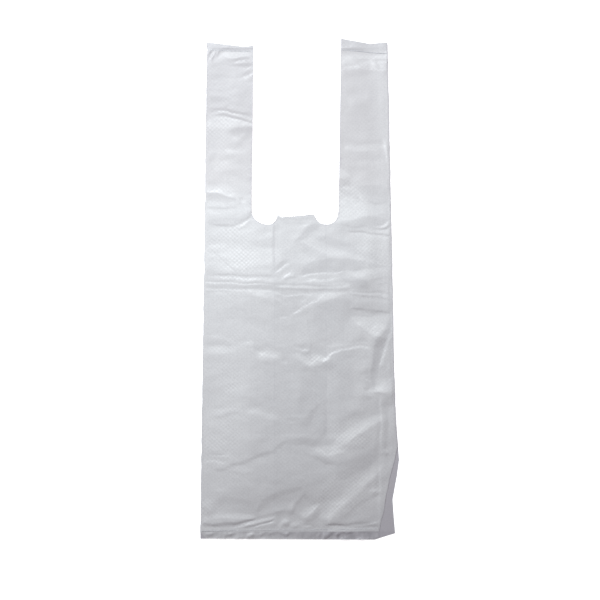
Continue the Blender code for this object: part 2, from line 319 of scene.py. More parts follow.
# %% Handle creases
HANDLE_CREASES = [
    # left handle, from the top
    (-0.26, 2, [(206, 58, 1.5), (212, 49, 1.5)]),
    (-0.22, 2, [(211, 60, 1.4), (216, 51, 1.4)]),
    (-0.19, 2, [(216, 57, 1.4), (221, 50, 1.4)]),
    (0.19, 2, [(208, 61, 1.4), (214, 52, 1.4)]),
    (-0.09, 2, [(212, 49.4, 1.6), (225, 50, 2), (240, 50.5, 2), (253, 50.5, 1.6)]),
    (-0.07, 2, [(224, 58.5, 1.3), (235, 58.8, 1.4), (247, 58.3, 1.3)]),
    (0.18, 2, [(234, 61.5, 1.6), (244, 61.3, 2.4), (253, 60.8, 2.2)]),
    (-0.04, 3, [(230, 64.5, 1.8), (253, 65.3, 2)]),
    (0.13, 2, [(243, 71.5, 1.3), (253, 65.8, 1.4)]),
    (-0.06, 2, [(243, 74, 1.3), (253, 70.5, 1.4)]),
    (0.17, 2, [(243, 77, 1.4), (253, 74.8, 1.8)]),
    (-0.09, 2, [(209, 108.5, 1.4), (220, 109.3, 1.6), (234, 111.4, 1.8), (253, 115.5, 2)]),
    (0.22, 1, [(217, 111.6, 1.3), (230, 112.8, 1.6), (242, 116.4, 1.6), (253, 120.4, 1.5)]),
    (-0.11, 1, [(211, 115, 1.3), (224, 115, 1.5), (237, 118.2, 1.5), (253, 122.6, 1.4)]),
    (0.1, 2, [(226, 117, 1.3), (240, 121.5, 1.6), (253, 124.6, 1.6)]),
    (0.08, 4, [(231, 137, 3), (240, 141, 4)]),
    (-0.08, 4, [(240, 141, 4), (252, 134, 6)]),
    (0.06, 4, [(225, 149, 3), (240, 152, 4), (252, 147, 4)]),
    (-0.11, 4, [(206, 128, 3), (207.5, 140, 4), (207, 154, 2)]),
    (-0.04, 6, [(218, 174, 6), (236, 172, 6)]),
    (0.09, 2, [(205, 190.6, 1.4), (220, 192.6, 1.8), (234, 196.2, 1.6)]),
    (-0.06, 2, [(205, 193, 1.4), (222, 195.3, 1.6), (236, 198.8, 1.4)]),
    (-0.3, 2, [(238.5, 198.5, 1.4), (241.5, 203, 2)]),
    (-0.13, 2, [(205, 207, 1.4), (222, 208.6, 1.6), (239, 207.6, 1.4)]),
    (-0.2, 2, [(212, 224, 1.4), (224, 226, 2.2), (236, 225, 1.8), (246, 219.5, 2),
               (251.5, 213, 2.4)]),
    (-0.19, 2, [(236, 230, 1.3), (244, 227.5, 1.4), (251, 220.5, 1.4)]),
    (0.09, 2, [(234, 228, 1.4), (243, 225, 1.5), (250, 219, 1.4)]),
    # right handle, from the top
    (-0.26, 2, [(340, 49.6, 2.4), (350, 50.6, 2.8), (362, 51.6, 2.8), (376, 53.4, 2),
                (388, 53.4, 1.3)]),
    (0.22, 2, [(342, 46, 1.4), (352, 46.6, 1.6)]),
    (0.17, 3, [(341, 57, 3), (362, 56.5, 3.4), (388, 57, 2.4)]),
    (-0.22, 2, [(359, 59.5, 1.3), (373, 59, 1.4), (388, 60.2, 1.5)]),
    (0.34, 2, [(377, 61.6, 1.4), (388, 62.8, 1.6)]),
    (-0.12, 2, [(342, 64.6, 2), (356, 65, 2.4)]),
    (0.18, 2, [(357, 64.5, 2.5), (369, 63.5, 3.5)]),
    (0.17, 2, [(370, 60, 2.2), (375, 67.5, 2.6)]),
    (-0.22, 2, [(376, 61, 1.8), (380, 67.5, 1.8)]),
    (0.36, 5, [(340, 68.6, 1.6), (356, 67.8, 1.6), (370, 69, 1.5), (388, 69.5, 1.6)]),
    (0.11, 4, [(349, 97, 3), (356, 98.5, 6), (366, 102, 3)]),
    (0.04, 4, [(345, 110, 4), (356, 112, 4)]),
    (-0.15, 3, [(341, 141, 1.6), (344.5, 149, 1.8)]),
    (-0.08, 4, [(346, 142, 2.5), (364, 142, 3.5), (384, 140.5, 2.5)]),
    (0.09, 4, [(358, 161, 2.5), (369, 163, 4), (380, 163, 2)]),
    (0.6, 2, [(343, 185.5, 1.6), (351, 191, 3), (360, 198, 1.8)]),
    (-0.34, 2, [(341, 191.5, 1.3), (350, 201, 1.5)]),
    (0.3, 2, [(341, 195, 1.3), (348, 202, 1.4)]),
    (-0.21, 2, [(368, 201, 1.4), (377, 203.5, 2), (386, 205, 1.4)]),
    (-0.13, 2, [(344, 225, 1.4), (354, 227, 2.4), (366, 226.5, 2)]),
    (0.27, 1, [(374, 225.6, 1.3), (383, 226, 1.5), (389, 220.5, 1.4)]),
    (-0.26, 1, [(375, 228.4, 1.3), (385, 228.2, 1.6), (391, 222.5, 1.4)]),
    (-0.32, 2, [(347, 230.8, 1.4), (368, 232.8, 1.7), (391, 236.4, 1.8)]),
    (0.15, 2, [(349, 233.2, 1.3), (370, 235, 1.5), (391, 239, 1.5)]),
    (0.3, 3, [(384.5, 138, 2), (385.5, 150, 3), (388, 162, 2)]),
]
print(len(HANDLE_CREASES), "creases on the handles")

# %% [markdown]
# ### Below the mouth
#
# The film between the handles hangs slack. It falls into a few broad folds that run down to the
# right, and two thin scratches cross each other at the left.

# %% Creases below the mouth
UPPER_CREASES = [
    (-0.15, 2, [(390, 232, 3), (390.6, 275, 4), (391, 318, 3)]),
    (-0.12, 2, [(206, 246, 1.4), (221, 258, 1.5), (238, 272, 1.4)]),
    (0.03, 2, [(208, 268, 1.3), (222, 254, 1.5), (230, 246, 1.3)]),
    (-0.2, 3, [(274, 226, 2.4), (273.6, 240, 2.4), (273.4, 256, 2), (273.4, 270, 2)]),
    (-0.08, 4, [(255, 231, 4), (268, 229, 5), (279, 226, 4)]),
    (-0.11, 4, [(275, 269, 3), (281, 264.5, 5), (288, 260, 3)]),
    (0.22, 2, [(274, 273.6, 1.4), (281, 269, 1.8), (290, 262.5, 1.5)]),
    (0.13, 2, [(280.5, 280, 1.5), (286, 276, 1.8), (291, 272.5, 1.5)]),
    (-0.15, 2, [(283, 281.5, 1.4), (290, 278, 1.6), (296, 277, 1.3)]),
    (0.09, 4, [(296, 266, 3), (292, 272, 6), (290, 279, 3)]),
    (0.12, 3, [(304, 241, 2), (314, 247, 3), (327, 254.5, 2)]),
    (0.06, 5, [(326, 255, 3), (345, 254, 5), (362, 259, 5), (378, 266, 2)]),
    (0.17, 2, [(300, 277, 1.4), (310, 274.8, 1.6), (326, 273, 1.6), (344, 271.6, 1.4)]),
    (0.18, 2, [(308, 279, 1.5), (318, 281, 2.2), (328, 280.5, 2), (336, 277.6, 1.4)]),
    (0.15, 2, [(304, 282.2, 1.4), (312, 281, 1.6), (318, 277, 1.3)]),
    (-0.09, 2, [(364, 276.5, 1.3), (376, 275, 1.5), (389, 272.5, 1.4)]),
    (-0.09, 2, [(367, 280, 1.3), (378, 278.6, 1.5), (389, 277, 1.4)]),
    (-0.12, 2, [(376, 285.4, 1.5), (389, 282.6, 1.6)]),
    (-0.12, 3, [(283, 217.5, 2), (298, 219.4, 3), (313, 217.8, 2.4)]),
    (-0.11, 2, [(280, 222.5, 1.4), (296, 223, 1.8), (311, 222, 1.4)]),
    (-0.18, 3, [(278, 217, 2), (284, 221, 2.6)]),
]
print(len(UPPER_CREASES), "creases below the mouth")

# %% [markdown]
# ### The cross fold
#
# The bag was packed folded in half. That leaves a band of sharp, parallel lines across it. They
# stop where the gusset's inner fold lies under them and go on a little lower beyond it, so the
# left and right halves are noted down apart.

# %% The cross fold
CROSS_FOLD_CREASES = [
    # its left half, from above
    (-0.15, 2, [(214, 274, 1.4), (238, 275.2, 1.7), (273, 276.6, 1.8)]),
    (0.08, 2, [(203, 275.6, 1.8), (224, 277.6, 1.9), (250, 279, 2), (273, 279.6, 1.8)]),
    (-0.09, 1, [(203, 281, 1.3), (238, 281.9, 1.4), (273, 283.4, 1.3)]),
    (0.15, 1, [(203, 282.6, 1.3), (238, 283.4, 1.4), (273, 284.8, 1.3)]),
    (-0.07, 2, [(203, 285.4, 3.6), (238, 286.2, 3.8), (273, 287.4, 3.6)]),
    (0.13, 1, [(203, 289.2, 1.3), (238, 290, 1.5), (273, 291, 1.4)]),
    (-0.08, 1, [(205, 290.8, 1.3), (232, 291.2, 1.4)]),
    (0.06, 2, [(214, 291.8, 1.5), (230, 292.2, 2), (250, 292.6, 2.2)]),
    # its right half
    (-0.1, 1, [(273, 283.4, 1.3), (300, 284.6, 1.4), (326, 285.4, 1.3)]),
    (0.13, 1, [(276, 286, 1.3), (300, 287, 1.5), (328, 287.2, 1.7), (349, 286.6, 1.8)]),
    (0.12, 1, [(318, 284.6, 1.3), (334, 284.2, 1.5), (349, 283.4, 1.6)]),
    (0.15, 1, [(343, 286, 2.4), (350.5, 286, 3)]),
    (-0.11, 2, [(273, 289, 2), (300, 289.4, 1.8), (326, 289.2, 1.6), (350, 289.6, 1.5)]),
    (0.17, 2, [(275, 291.6, 1.4), (284, 295.4, 1.6), (292, 296, 1.6), (302, 294.2, 1.5),
               (313, 294, 1.3)]),
    (-0.14, 1, [(350, 290.6, 1.3), (366, 291.6, 1.5), (391, 292.6, 1.5)]),
    (0.11, 1, [(350, 292.6, 1.3), (368, 294, 1.5), (391, 295.6, 1.5)]),
    (-0.15, 2, [(348, 294, 1.3), (368, 296.4, 1.5), (391, 299.4, 1.5)]),
    (0.2, 2, [(290, 314.5, 1.6), (299, 310.4, 2.2), (308, 304.4, 1.8), (320, 300.6, 1.4)]),
    (0.12, 2, [(297, 306, 1.4), (304, 301, 1.8), (308, 296.5, 1.4)]),
    (0.17, 3, [(275, 297, 1.6), (282, 301.5, 2.4), (287, 307, 1.6)]),
    (0.2, 1, [(279.5, 317.2, 1.4), (287.5, 317, 1.4)]),
    (0.07, 3, [(352, 303.5, 2), (360, 299.8, 3)]),
]
print(len(CROSS_FOLD_CREASES), "creases in the cross fold")

# %% [markdown]
# ### In the middle
#
# Here the film was squeezed from both sides, so short creases meet in small stars. The brightest
# line of the whole bag runs from one of them to the right fold.

# %% Creases in the middle
MIDDLE_CREASES = [
    (-0.18, 4, [(307, 320, 2), (310.5, 335, 2.8), (311, 356, 2)]),
    (-0.34, 5, [(350, 308, 1.6), (363, 310.2, 3), (378, 312.6, 4.6), (400, 316, 4.4)]),
    (-0.3, 3, [(370, 312, 1.6), (381, 313, 2.6), (392, 314.4, 3)]),
    (0.2, 3, [(351, 318.3, 1.8), (361, 325.5, 2.4), (373, 333.8, 2)]),
    (0.14, 2, [(352, 317.5, 1.6), (387, 316.3, 1.6)]),
    (0.3, 3, [(390, 333, 2), (386.5, 344, 2.6), (383, 355, 2.4), (379, 369, 1.8)]),
    (-0.08, 3, [(388, 342, 2), (387.5, 354, 4), (386.5, 368, 3)]),
    (0.34, 4, [(320, 360.5, 3), (327, 358, 3.4), (333, 353, 2.2), (344, 349.7, 2),
               (356, 347.5, 2.6), (369, 348, 2)]),
    (0.1, 2, [(327, 346.5, 1.6), (346, 344.5, 1.6), (369, 342.2, 1.6)]),
    (0.14, 2, [(361, 361, 1.6), (370, 361, 1.6)]),
    (0.13, 3, [(204, 336, 1.6), (219, 337, 1.8), (234, 341.3, 1.8)]),
    (0.03, 5, [(203, 350, 6), (224, 349.5, 7), (240, 346, 4), (250, 345, 3)]),
    (0.13, 3, [(245, 344, 2), (254, 341.5, 3)]),
    (-0.2, 2, [(253, 347.5, 1.8), (259, 354, 2)]),
    (0.1, 4, [(258, 355, 3), (267, 354, 6), (280, 358, 3)]),
    (0.14, 3, [(280, 361, 2), (287, 364, 2)]),
    (0.12, 2, [(273, 345.7, 1.6), (288, 345.5, 1.6)]),
    (0.25, 2, [(293, 347, 1.6), (302, 350, 2), (311, 349, 1.6)]),
    (0.1, 4, [(294, 351, 3), (303, 360, 6), (311, 366, 4)]),
    (0.14, 3, [(310, 366, 3), (316, 358.5, 5), (321, 354, 3)]),
    (-0.11, 2, [(263, 362, 2), (266.5, 369, 2), (268, 377, 1.8)]),
    (-0.08, 3, [(254, 349, 3), (262, 349, 3)]),
    (-0.04, 4, [(204, 344.5, 4), (224, 343.5, 4), (239, 348, 3)]),
    (-0.04, 4, [(204, 354, 4), (215, 357, 4), (229, 354, 3)]),
    (0.04, 4, [(248, 323, 3), (261, 332, 4), (271, 341, 3)]),
    (0.04, 4, [(320, 314, 2), (332, 331, 3)]),
    (-0.07, 3, [(268, 330, 2), (269, 344, 3)]),
    (0.04, 5, [(327, 394, 5), (335, 384, 7), (342, 377, 4)]),
    (-0.24, 2, [(364, 390.5, 1.6), (368, 394, 2), (371, 397.5, 1.6)]),
    (-0.2, 2, [(372, 394, 1.6), (386.5, 394, 1.8)]),
    (0.08, 3, [(361, 366, 3), (369, 366, 3)]),
    (-0.04, 8, [(214, 316, 10), (240, 312, 12), (262, 316, 8)]),
]
print(len(MIDDLE_CREASES), "creases in the middle")

# %% [markdown]
# ### Lower down
#
# Where the front panel has drawn in at the right, the pull shows as broad slanting bands. Long thin
# lines run down beside the right fold, and one dark valley crosses the bag.

# %% Creases lower down
LOWER_CREASES = [
    (-0.2, 2, [(390.5, 345, 2), (392, 370, 3.4), (394, 392, 3), (395, 406, 2)]),
    (0.06, 5, [(203, 412.5, 4), (222, 411, 5), (242, 409, 4)]),
    (-0.09, 3, [(203, 417.5, 2), (220, 417, 2.6), (236, 413, 2), (249, 415, 1.6)]),
    (0.1, 4, [(246, 409, 3), (258, 413, 5), (269, 416.5, 5), (279, 416.8, 3)]),
    (0.11, 3, [(284, 416.5, 2), (295, 415.5, 3), (307, 416.3, 2)]),
    (0.09, 3, [(286, 423, 2), (302, 421.5, 2)]),
    (-0.09, 4, [(308, 427, 5), (310.5, 416, 6), (319, 404, 3)]),
    (-0.16, 4, [(325, 399, 1.6), (325.5, 420, 2.6), (325, 438, 2)]),
    (0.1, 4, [(279, 436, 2), (292, 435.5, 3.5), (312, 434, 2)]),
    (-0.1, 5, [(284, 443, 4), (298, 441, 7), (312, 442, 7), (322, 440, 4)]),
    (-0.15, 4, [(213, 470.5, 1.8), (224, 469.3, 3), (232, 465, 3), (243, 463, 3.4), (255, 457, 3.2),
                (264, 454, 3.4), (273, 451.5, 3.4), (280, 445.5, 3.4), (287, 442, 3)]),
    (-0.11, 2, [(226, 470, 1.8), (241, 473, 1.6)]),
    (0.18, 2, [(200.5, 457.5, 1.6), (214, 456.8, 1.6), (229, 456, 1.6)]),
    (0.23, 2, [(200.5, 462.8, 1.8), (213, 461.3, 1.8), (227, 463.3, 1.8)]),
    (-0.16, 2, [(201, 455, 1.6), (214, 454.6, 1.6), (225, 455, 1.6)]),
    (-0.11, 3, [(304, 451, 2), (315, 457.5, 3), (328, 462, 4), (337, 462.5, 2)]),
    (-0.06, 5, [(337, 426, 5), (351, 420, 8), (363, 414, 6)]),
    (-0.07, 3, [(348, 441, 2), (365, 433, 2), (382, 423, 2)]),
    (0.23, 2, [(368, 492, 2), (375, 489.5, 2.6), (382, 491, 2)]),
    (-0.09, 3, [(342, 518, 2), (361, 503, 2.4), (379, 494, 2)]),
    (0.24, 2, [(380.5, 397, 1.6), (381, 430, 1.7), (380.3, 465, 1.7), (379.6, 500, 1.7),
               (378.6, 526, 1.7)]),
    (-0.07, 2, [(377.6, 424, 2), (377.8, 460, 2.4), (377.4, 486, 2)]),
    (-0.08, 3, [(386.3, 372, 3), (387, 394, 4), (387, 418, 3.6), (386.3, 438, 2.4),
                (385, 449, 1.6)]),
    (0.1, 3, [(391, 408, 2), (391.5, 424, 3.5), (390, 441, 2)]),
    (0.4, 3, [(384, 449, 1.7), (389, 452.3, 1.7)]),
    (0.25, 2, [(383.6, 455, 2.5), (382, 462, 3), (382, 469, 2.5)]),
    (-0.04, 6, [(236, 398, 6), (255, 402, 8), (268, 396, 6)]),
    (0.04, 6, [(286, 372, 6), (300, 384, 10), (312, 390, 6)]),
    (-0.04, 6, [(330, 366, 6), (350, 376, 12), (362, 380, 6)]),
    (-0.07, 3, [(260.5, 466, 1.6), (261, 486, 1.8)]),
    (0.04, 6, [(246, 478, 6), (258, 488, 8), (270, 480, 6)]),
    (0.04, 6, [(290, 462, 8), (304, 474, 10), (316, 482, 6)]),
]
print(len(LOWER_CREASES), "creases lower down")

# %% [markdown]
# ### At the bottom
#
# The heat of the seal shrinks the film a little, so it puckers just above the seal: a fan of thin
# ridges at the left, round puckers in the middle, and a double ridge at the right.

# %% Creases at the bottom
BOTTOM_CREASES = [
    (0.16, 4, [(200.5, 505, 4), (206, 512, 7), (211, 517, 4)]),
    (0.16, 4, [(210, 516.5, 4), (224, 514.5, 7), (240, 516, 6), (256, 518.5, 4)]),
    (-0.22, 3, [(200.5, 524.5, 3.4), (216, 525.2, 3.6), (236, 523.5, 3), (256, 519.5, 2)]),
    (-0.13, 5, [(257, 514, 3), (262, 505.5, 6), (270, 499.5, 7), (281, 494, 6), (293, 489.5, 5),
                (302, 487, 3)]),
    (0.1, 3, [(262, 517, 1.8), (268, 510, 2.4), (281, 505.5, 1.8)]),
    (-0.15, 2, [(269, 514.5, 1.8), (278, 512.5, 2), (287, 512.3, 1.6)]),
    (0.1, 4, [(284, 513, 3), (292, 504, 4), (301, 495, 3)]),
    (-0.12, 3, [(293, 514, 3), (298, 504.5, 4), (304, 495, 3)]),
    (0.31, 4, [(299, 517, 4), (306, 512.5, 8), (314, 508, 6), (319, 503.5, 2.4)]),
    (-0.1, 3, [(306, 521, 2.4), (316, 517, 3), (321, 509, 2.4)]),
    (0.26, 2, [(231, 529, 1.6), (248, 524.5, 2.4), (262, 520.3, 2.6), (274, 516.5, 2)]),
    (-0.12, 2, [(228, 526.8, 1.8), (247, 521.5, 2), (262, 517, 2), (270, 513.8, 1.6)]),
    (-0.3, 2, [(243, 528.5, 1.6), (260, 524.2, 1.6), (273, 519.6, 1.6)]),
    (0.36, 2, [(253, 527.8, 1.6), (266, 523.8, 1.7), (275, 521.5, 1.6)]),
    (-0.22, 3, [(276.5, 515, 2), (278, 521, 3), (279, 527, 2)]),
    (0.31, 3, [(280, 528, 2), (282.5, 522, 4), (288, 519.5, 4), (292, 521, 2)]),
    (-0.12, 2, [(283, 526, 1.8), (289, 524, 2)]),
    (0.18, 3, [(290, 526, 3), (295, 523, 5), (300, 525, 3)]),
    (-0.18, 2, [(297, 518, 2), (302, 523, 2)]),
    (0.18, 2, [(304, 527, 2), (312, 526, 2)]),
    (-0.27, 3, [(325, 525, 1.8), (350, 524.8, 2.2), (373, 522.6, 2)]),
    (0.35, 2, [(328, 527.6, 1.6), (350, 527.2, 1.7), (365, 525, 1.8), (379, 521.8, 1.6)]),
    (0.6, 1, [(327, 530, 1.2), (350, 529.6, 1.4), (377, 529, 1.2)]),
    (0.04, 6, [(206, 492, 8), (216, 486, 10), (230, 492, 8)]),
    (-0.04, 5, [(216, 502, 5), (236, 500, 7), (250, 505, 5)]),
]
print(len(BOTTOM_CREASES), "creases at the bottom")

# %% [markdown]
# ### Panes
#
# Between creases that meet, the film pulls straight into flat **panes**, like the facets of a
# crumpled sheet. A pane is tilted across its narrow side, the same all over, so it has one even
# tone and crisp edges. They are noted down as the **tilt** (above zero faces the window), the
# **reach** in mm over which the film around settles again, and the corners, **across, down**.

# %% Panes
PANES = [
    # left handle
    (0.06, 10, [(225, 52.5), (246, 52), (250, 55.5), (228, 57.5)]),
    (0.05, 14, [(208, 123), (216, 117.6), (230, 118), (241, 121), (252, 123.6), (252, 126),
                (235, 126.5), (219, 128.5), (210, 127.5)]),
    (-0.06, 12, [(227, 131.5), (237, 127.6), (252, 126.5), (252, 132.5), (240, 133.5)]),
    (0.04, 12, [(205, 185.5), (228, 189), (235, 193), (233, 195.5), (205, 191)]),
    (-0.06, 10, [(205, 193), (232, 197), (239, 200.5), (222, 201), (205, 199.6)]),
    (-0.06, 14, [(207, 220.5), (222, 218), (238, 218), (250, 212), (251, 217), (242, 222),
                 (232, 226), (218, 226.5), (209, 223.5)]),
    (-0.05, 12, [(205.5, 131), (218, 131), (217, 158), (204.5, 158)]),
    # right handle
    (0.06, 10, [(345, 147.5), (360, 145.8), (385, 144.6), (385, 148.4), (366, 151), (350, 150.6)]),
    (-0.03, 12, [(353, 153), (370, 153), (384, 157), (372, 160), (358, 157.5)]),
    (0.16, 18, [(340, 168.5), (348.5, 175.5), (340, 177.5)]),
    (0.07, 18, [(341, 198), (352, 196), (368, 206), (379, 214), (366, 217), (352, 219.5),
                (342, 221)]),
    (-0.06, 14, [(357, 188), (370, 184.5), (385, 189), (386, 203), (371, 203.5)]),
    (-0.05, 12, [(345, 225), (352, 220.4), (365, 217.6), (381, 217.4), (385, 220.5), (380, 226),
                 (371, 229), (355, 229), (348, 227.5)]),
    (0.07, 10, [(343, 55.5), (386, 56), (386.5, 67.5), (342, 67)]),
    # below the mouth
    (0.05, 22, [(377, 231), (388, 231), (389.5, 264), (379, 262)]),
    (0.03, 14, [(203, 246), (240, 246), (244, 268), (203, 268)]),
    (-0.04, 14, [(249, 241), (272, 238), (272, 247), (256, 248)]),
    (0.03, 14, [(252, 250), (272, 249), (272, 261), (258, 263)]),
    (-0.11, 10, [(311, 224.5), (319, 224), (317.5, 229.5), (305, 238.5), (297.5, 241.5),
                 (296.5, 239.5)]),
    (-0.07, 12, [(300, 242), (304, 243), (313, 248), (325, 254), (324, 257.5), (311, 257.5),
                 (303, 252)]),
    (-0.07, 14, [(312, 236), (325, 235.4), (345, 243.6), (366, 250.5), (383, 262), (362, 257.5),
                 (335, 248)]),
    (-0.1, 14, [(301, 274.5), (306, 265.5), (313, 261.5), (328, 259.2), (346, 259), (366, 262),
                (385, 266), (366, 269), (346, 270.6), (322, 272.6)]),
    (0.04, 12, [(349, 271.6), (386, 267.6), (387, 274), (371, 279), (359, 278)]),
    (-0.07, 10, [(339, 274.5), (347, 273), (358, 280), (350, 282), (343, 281.5)]),
    # along the cross fold
    (-0.1, 12, [(351.5, 281.6), (358, 280.2), (367, 281.6), (368, 288.6), (351.5, 288.8)]),
    (0.07, 12, [(368.5, 282), (377, 281), (376, 287.5), (370, 287.6)]),
    (0.11, 10, [(247, 291.2), (273, 291.2), (273, 297.5), (263, 297.6), (254, 294.6)]),
    (0.1, 12, [(317, 300), (321, 294), (330, 292.6), (346, 292.6), (336, 297.6), (324, 301)]),
    # at the right, below the fold
    (-0.05, 18, [(314, 308), (330, 301), (349, 298), (350, 316), (342, 334), (329, 342),
                 (315, 336)]),
    (0.14, 16, [(351, 318), (388.5, 315.8), (386.5, 325), (380.5, 336.5), (373, 334)]),
    (-0.13, 12, [(391.4, 318), (384, 331), (377, 338), (374, 346), (371.6, 372), (373, 390),
                 (376, 383), (379, 364), (386.5, 342), (391, 328)]),
    (0.17, 16, [(366, 392), (376.4, 384), (375.6, 379), (384, 379), (387, 392)]),
    (0.05, 14, [(204, 348), (222, 346.6), (240, 346), (233, 352), (214, 353.6), (204, 352)]),
    (0.04, 10, [(259, 351.5), (268, 350), (279, 352.5), (276, 358), (264, 358)]),
    (0.08, 10, [(296, 353), (306, 358), (312, 363), (319, 356), (321, 363), (311, 366.5),
                (300, 359)]),
    (-0.04, 14, [(331, 352), (352, 352), (352, 398), (331, 398)]),
    (-0.05, 16, [(302, 378), (325, 374), (325, 434), (306, 432), (298, 410)]),
    (0.05, 20, [(202, 400), (238, 398), (250, 440), (230, 449), (201, 451)]),
    # lower right
    (0.14, 16, [(330, 446), (345, 431.5), (361, 420.5), (380, 415), (380.5, 420), (365, 430),
                (350, 440), (338, 447)]),
    (0.11, 10, [(311, 447), (334, 446.5), (345, 451.5), (326, 455.5)]),
    (-0.06, 16, [(338, 464), (358, 456), (376, 447), (378, 461), (360, 470), (345, 479),
                 (336, 475)]),
    (0.13, 18, [(319, 517), (338, 497), (358, 479), (380, 464), (380, 471), (362, 490), (345, 505),
                (330, 519)]),
    (0.07, 12, [(326, 503), (346, 502), (338, 516), (328, 517)]),
]

# %% [markdown]
# The tables are one long list from here on, because every crease becomes height in the same way.

# %% All creases
CREASES = (HANDLE_CREASES + UPPER_CREASES + CROSS_FOLD_CREASES + MIDDLE_CREASES + LOWER_CREASES
           + BOTTOM_CREASES)
print(len(CREASES), "creases and", len(PANES), "panes")

# %% [markdown]
# ## From the notes to heights
#
# Each crease becomes a step across its line: the film climbs (or falls) over the strip's width and
# settles back over the flanks. The line is rounded through its points first, because film bends in
# curves. A wide strip makes a high step, so its flanks are longer too.
#
# Nothing in a bag runs ruler-straight. So the places are first shifted by a slow and a quick
# wobble, both of under a millimetre, before they are looked up in the notes. Each wobble draws its
# waves from its own seed, so the bag comes out the same every time.

# %% Wobble and rounded lines
STEP = 1.5
PACES = (0.6, 1.5)


def wobble(across, down, size, seed, waves=7):
    """A smooth random field between about -1 and 1, whose bumps are about size mm across."""
    draw = np.random.default_rng(seed)
    total = np.zeros(np.broadcast(across, down).shape)
    for _ in range(waves):
        turn, phase = draw.uniform(0, 2 * math.pi, 2)
        pace = math.pi / size * draw.uniform(*PACES)
        total += np.sin(pace * (across * math.cos(turn) + down * math.sin(turn)) + phase)
    return total / math.sqrt(waves)


def rounded(points):
    """A smooth line through the points, in short steps (a Catmull-Rom curve)."""
    points = np.array(points, float)
    ends = np.vstack([2 * points[0] - points[1], points, 2 * points[-1] - points[-2]])
    line = []
    for a, b, c, d in zip(ends, ends[1:], ends[2:], ends[3:]):
        count = max(1, round(math.dist(b[:2], c[:2]) / STEP))
        for t in np.arange(count) / count:
            line.append(0.5 * (2 * b + (c - a) * t + (2 * a - 5 * b + 4 * c - d) * t * t
                               + (3 * b - a - 3 * c + d) * t ** 3))
    return np.array(line + [points[-1]])


def settled(away, reach):
    """1 at a crease's edge, and softly down to 0 at its reach."""
    return 0.5 + 0.5 * np.cos(math.pi * np.clip(away / reach, 0, 1))


print("Wobble at one place:", round(float(wobble(300.0, 300.0, 11, 3)), 2))

# %% [markdown]
# For one crease, we look up how far aside of its line each place lies, and on which side. Across
# the strip the height climbs evenly, and beyond it the flanks bring it back to zero. The ends fade
# out, so no crease stops dead.

# %% One crease
LEAST_WIDTH = 1.3
LONGEST_FADE = 7.0
FADE_SHARE = 0.4
FADE_START, FADE_END = -0.3, 0.7


def crease(across, down, slope, flank, points):
    """One crease's height at each place. The places are all near it."""
    line = rounded(points)
    legs = line[1:, :2] - line[:-1, :2]
    lengths = np.hypot(legs[:, 0], legs[:, 1])
    legs = legs / lengths[:, None]
    done = np.concatenate([[0], np.cumsum(lengths)])
    chord = line[-1, :2] - line[0, :2]
    away = 1 if chord[0] - chord[1] > 0 else -1
    near = np.full(across.shape, np.inf)
    aside, width, along = (np.zeros(across.shape) for _ in range(3))
    for i in range(len(legs)):
        dx, dy = across - line[i, 0], down - line[i, 1]
        t = dx * legs[i, 0] + dy * legs[i, 1]
        held = np.clip(t, 0, lengths[i])
        gap = np.hypot(dx - held * legs[i, 0], dy - held * legs[i, 1])
        side = np.where((dy * legs[i, 0] - dx * legs[i, 1]) * away >= 0, 1, -1)
        closer = gap < near
        near = np.where(closer, gap, near)
        aside = np.where(closer, side * gap, aside)
        share = held / lengths[i]
        width = np.where(closer, line[i, 2] * (1 - share) + line[i + 1, 2] * share, width)
        along = np.where(closer, done[i] + t, along)
    width = np.maximum(width, LEAST_WIDTH)
    fade = min(LONGEST_FADE, FADE_SHARE * done[-1])
    ends = rise(np.minimum(along, done[-1] - along), FADE_START * fade, FADE_END * fade)
    half = slope * width * ends / 2
    strip = half * np.clip(2 * aside / width, -1, 1)
    flanks = np.sign(aside) * half * settled(np.abs(aside) - width / 2, flank)
    return np.where(np.abs(aside) < width / 2, strip, flanks)


sample = crease(np.full(5, 100.0), np.linspace(96, 104, 5), 0.2, 3, [(90, 100, 2), (110, 100, 2)])
print("Heights across a sample crease:", sample.round(2), "mm")

# %% [markdown]
# A pane is a tilted plane inside its corners. Outside, each place takes the height of the pane's
# nearest edge, fading out over the reach, so the film stays in one piece.

# %% One pane
PANE_EDGE = 1.6


def narrow_side(corners):
    """The direction across a pane's narrow side, pointing away from the window."""
    off = corners - corners.mean(axis=0)
    direction = np.linalg.eigh(off.T @ off)[1][:, 0]
    return direction if direction.sum() > 0 else -direction


def pane(across, down, tilt, reach, corners):
    """One pane's height and cover (1 inside it) at each place. The places are all near it."""
    corners = np.array(corners, float)
    middle = corners.mean(axis=0)
    uphill = narrow_side(corners)
    nearest = np.full(across.shape, np.inf)
    edge_height = np.zeros(across.shape)
    inside = np.zeros(across.shape, bool)
    for start, end in zip(corners, np.roll(corners, -1, axis=0)):
        leg = end - start
        t = np.clip(((across - start[0]) * leg[0] + (down - start[1]) * leg[1]) / (leg @ leg), 0, 1)
        foot_across, foot_down = start[0] + t * leg[0], start[1] + t * leg[1]
        gap = np.hypot(across - foot_across, down - foot_down)
        closer = gap < nearest
        nearest = np.where(closer, gap, nearest)
        at_foot = (foot_across - middle[0]) * uphill[0] + (foot_down - middle[1]) * uphill[1]
        edge_height = np.where(closer, at_foot, edge_height)
        crosses = (start[1] > down) != (end[1] > down)
        slant = leg[0] / leg[1] if leg[1] else 0.0
        inside ^= crosses & (across < start[0] + (down - start[1]) * slant)
    plane = (across - middle[0]) * uphill[0] + (down - middle[1]) * uphill[1]
    height = tilt * np.where(inside, plane, edge_height * settled(nearest, reach))
    return height, np.where(inside, 1.0, settled(nearest, PANE_EDGE))


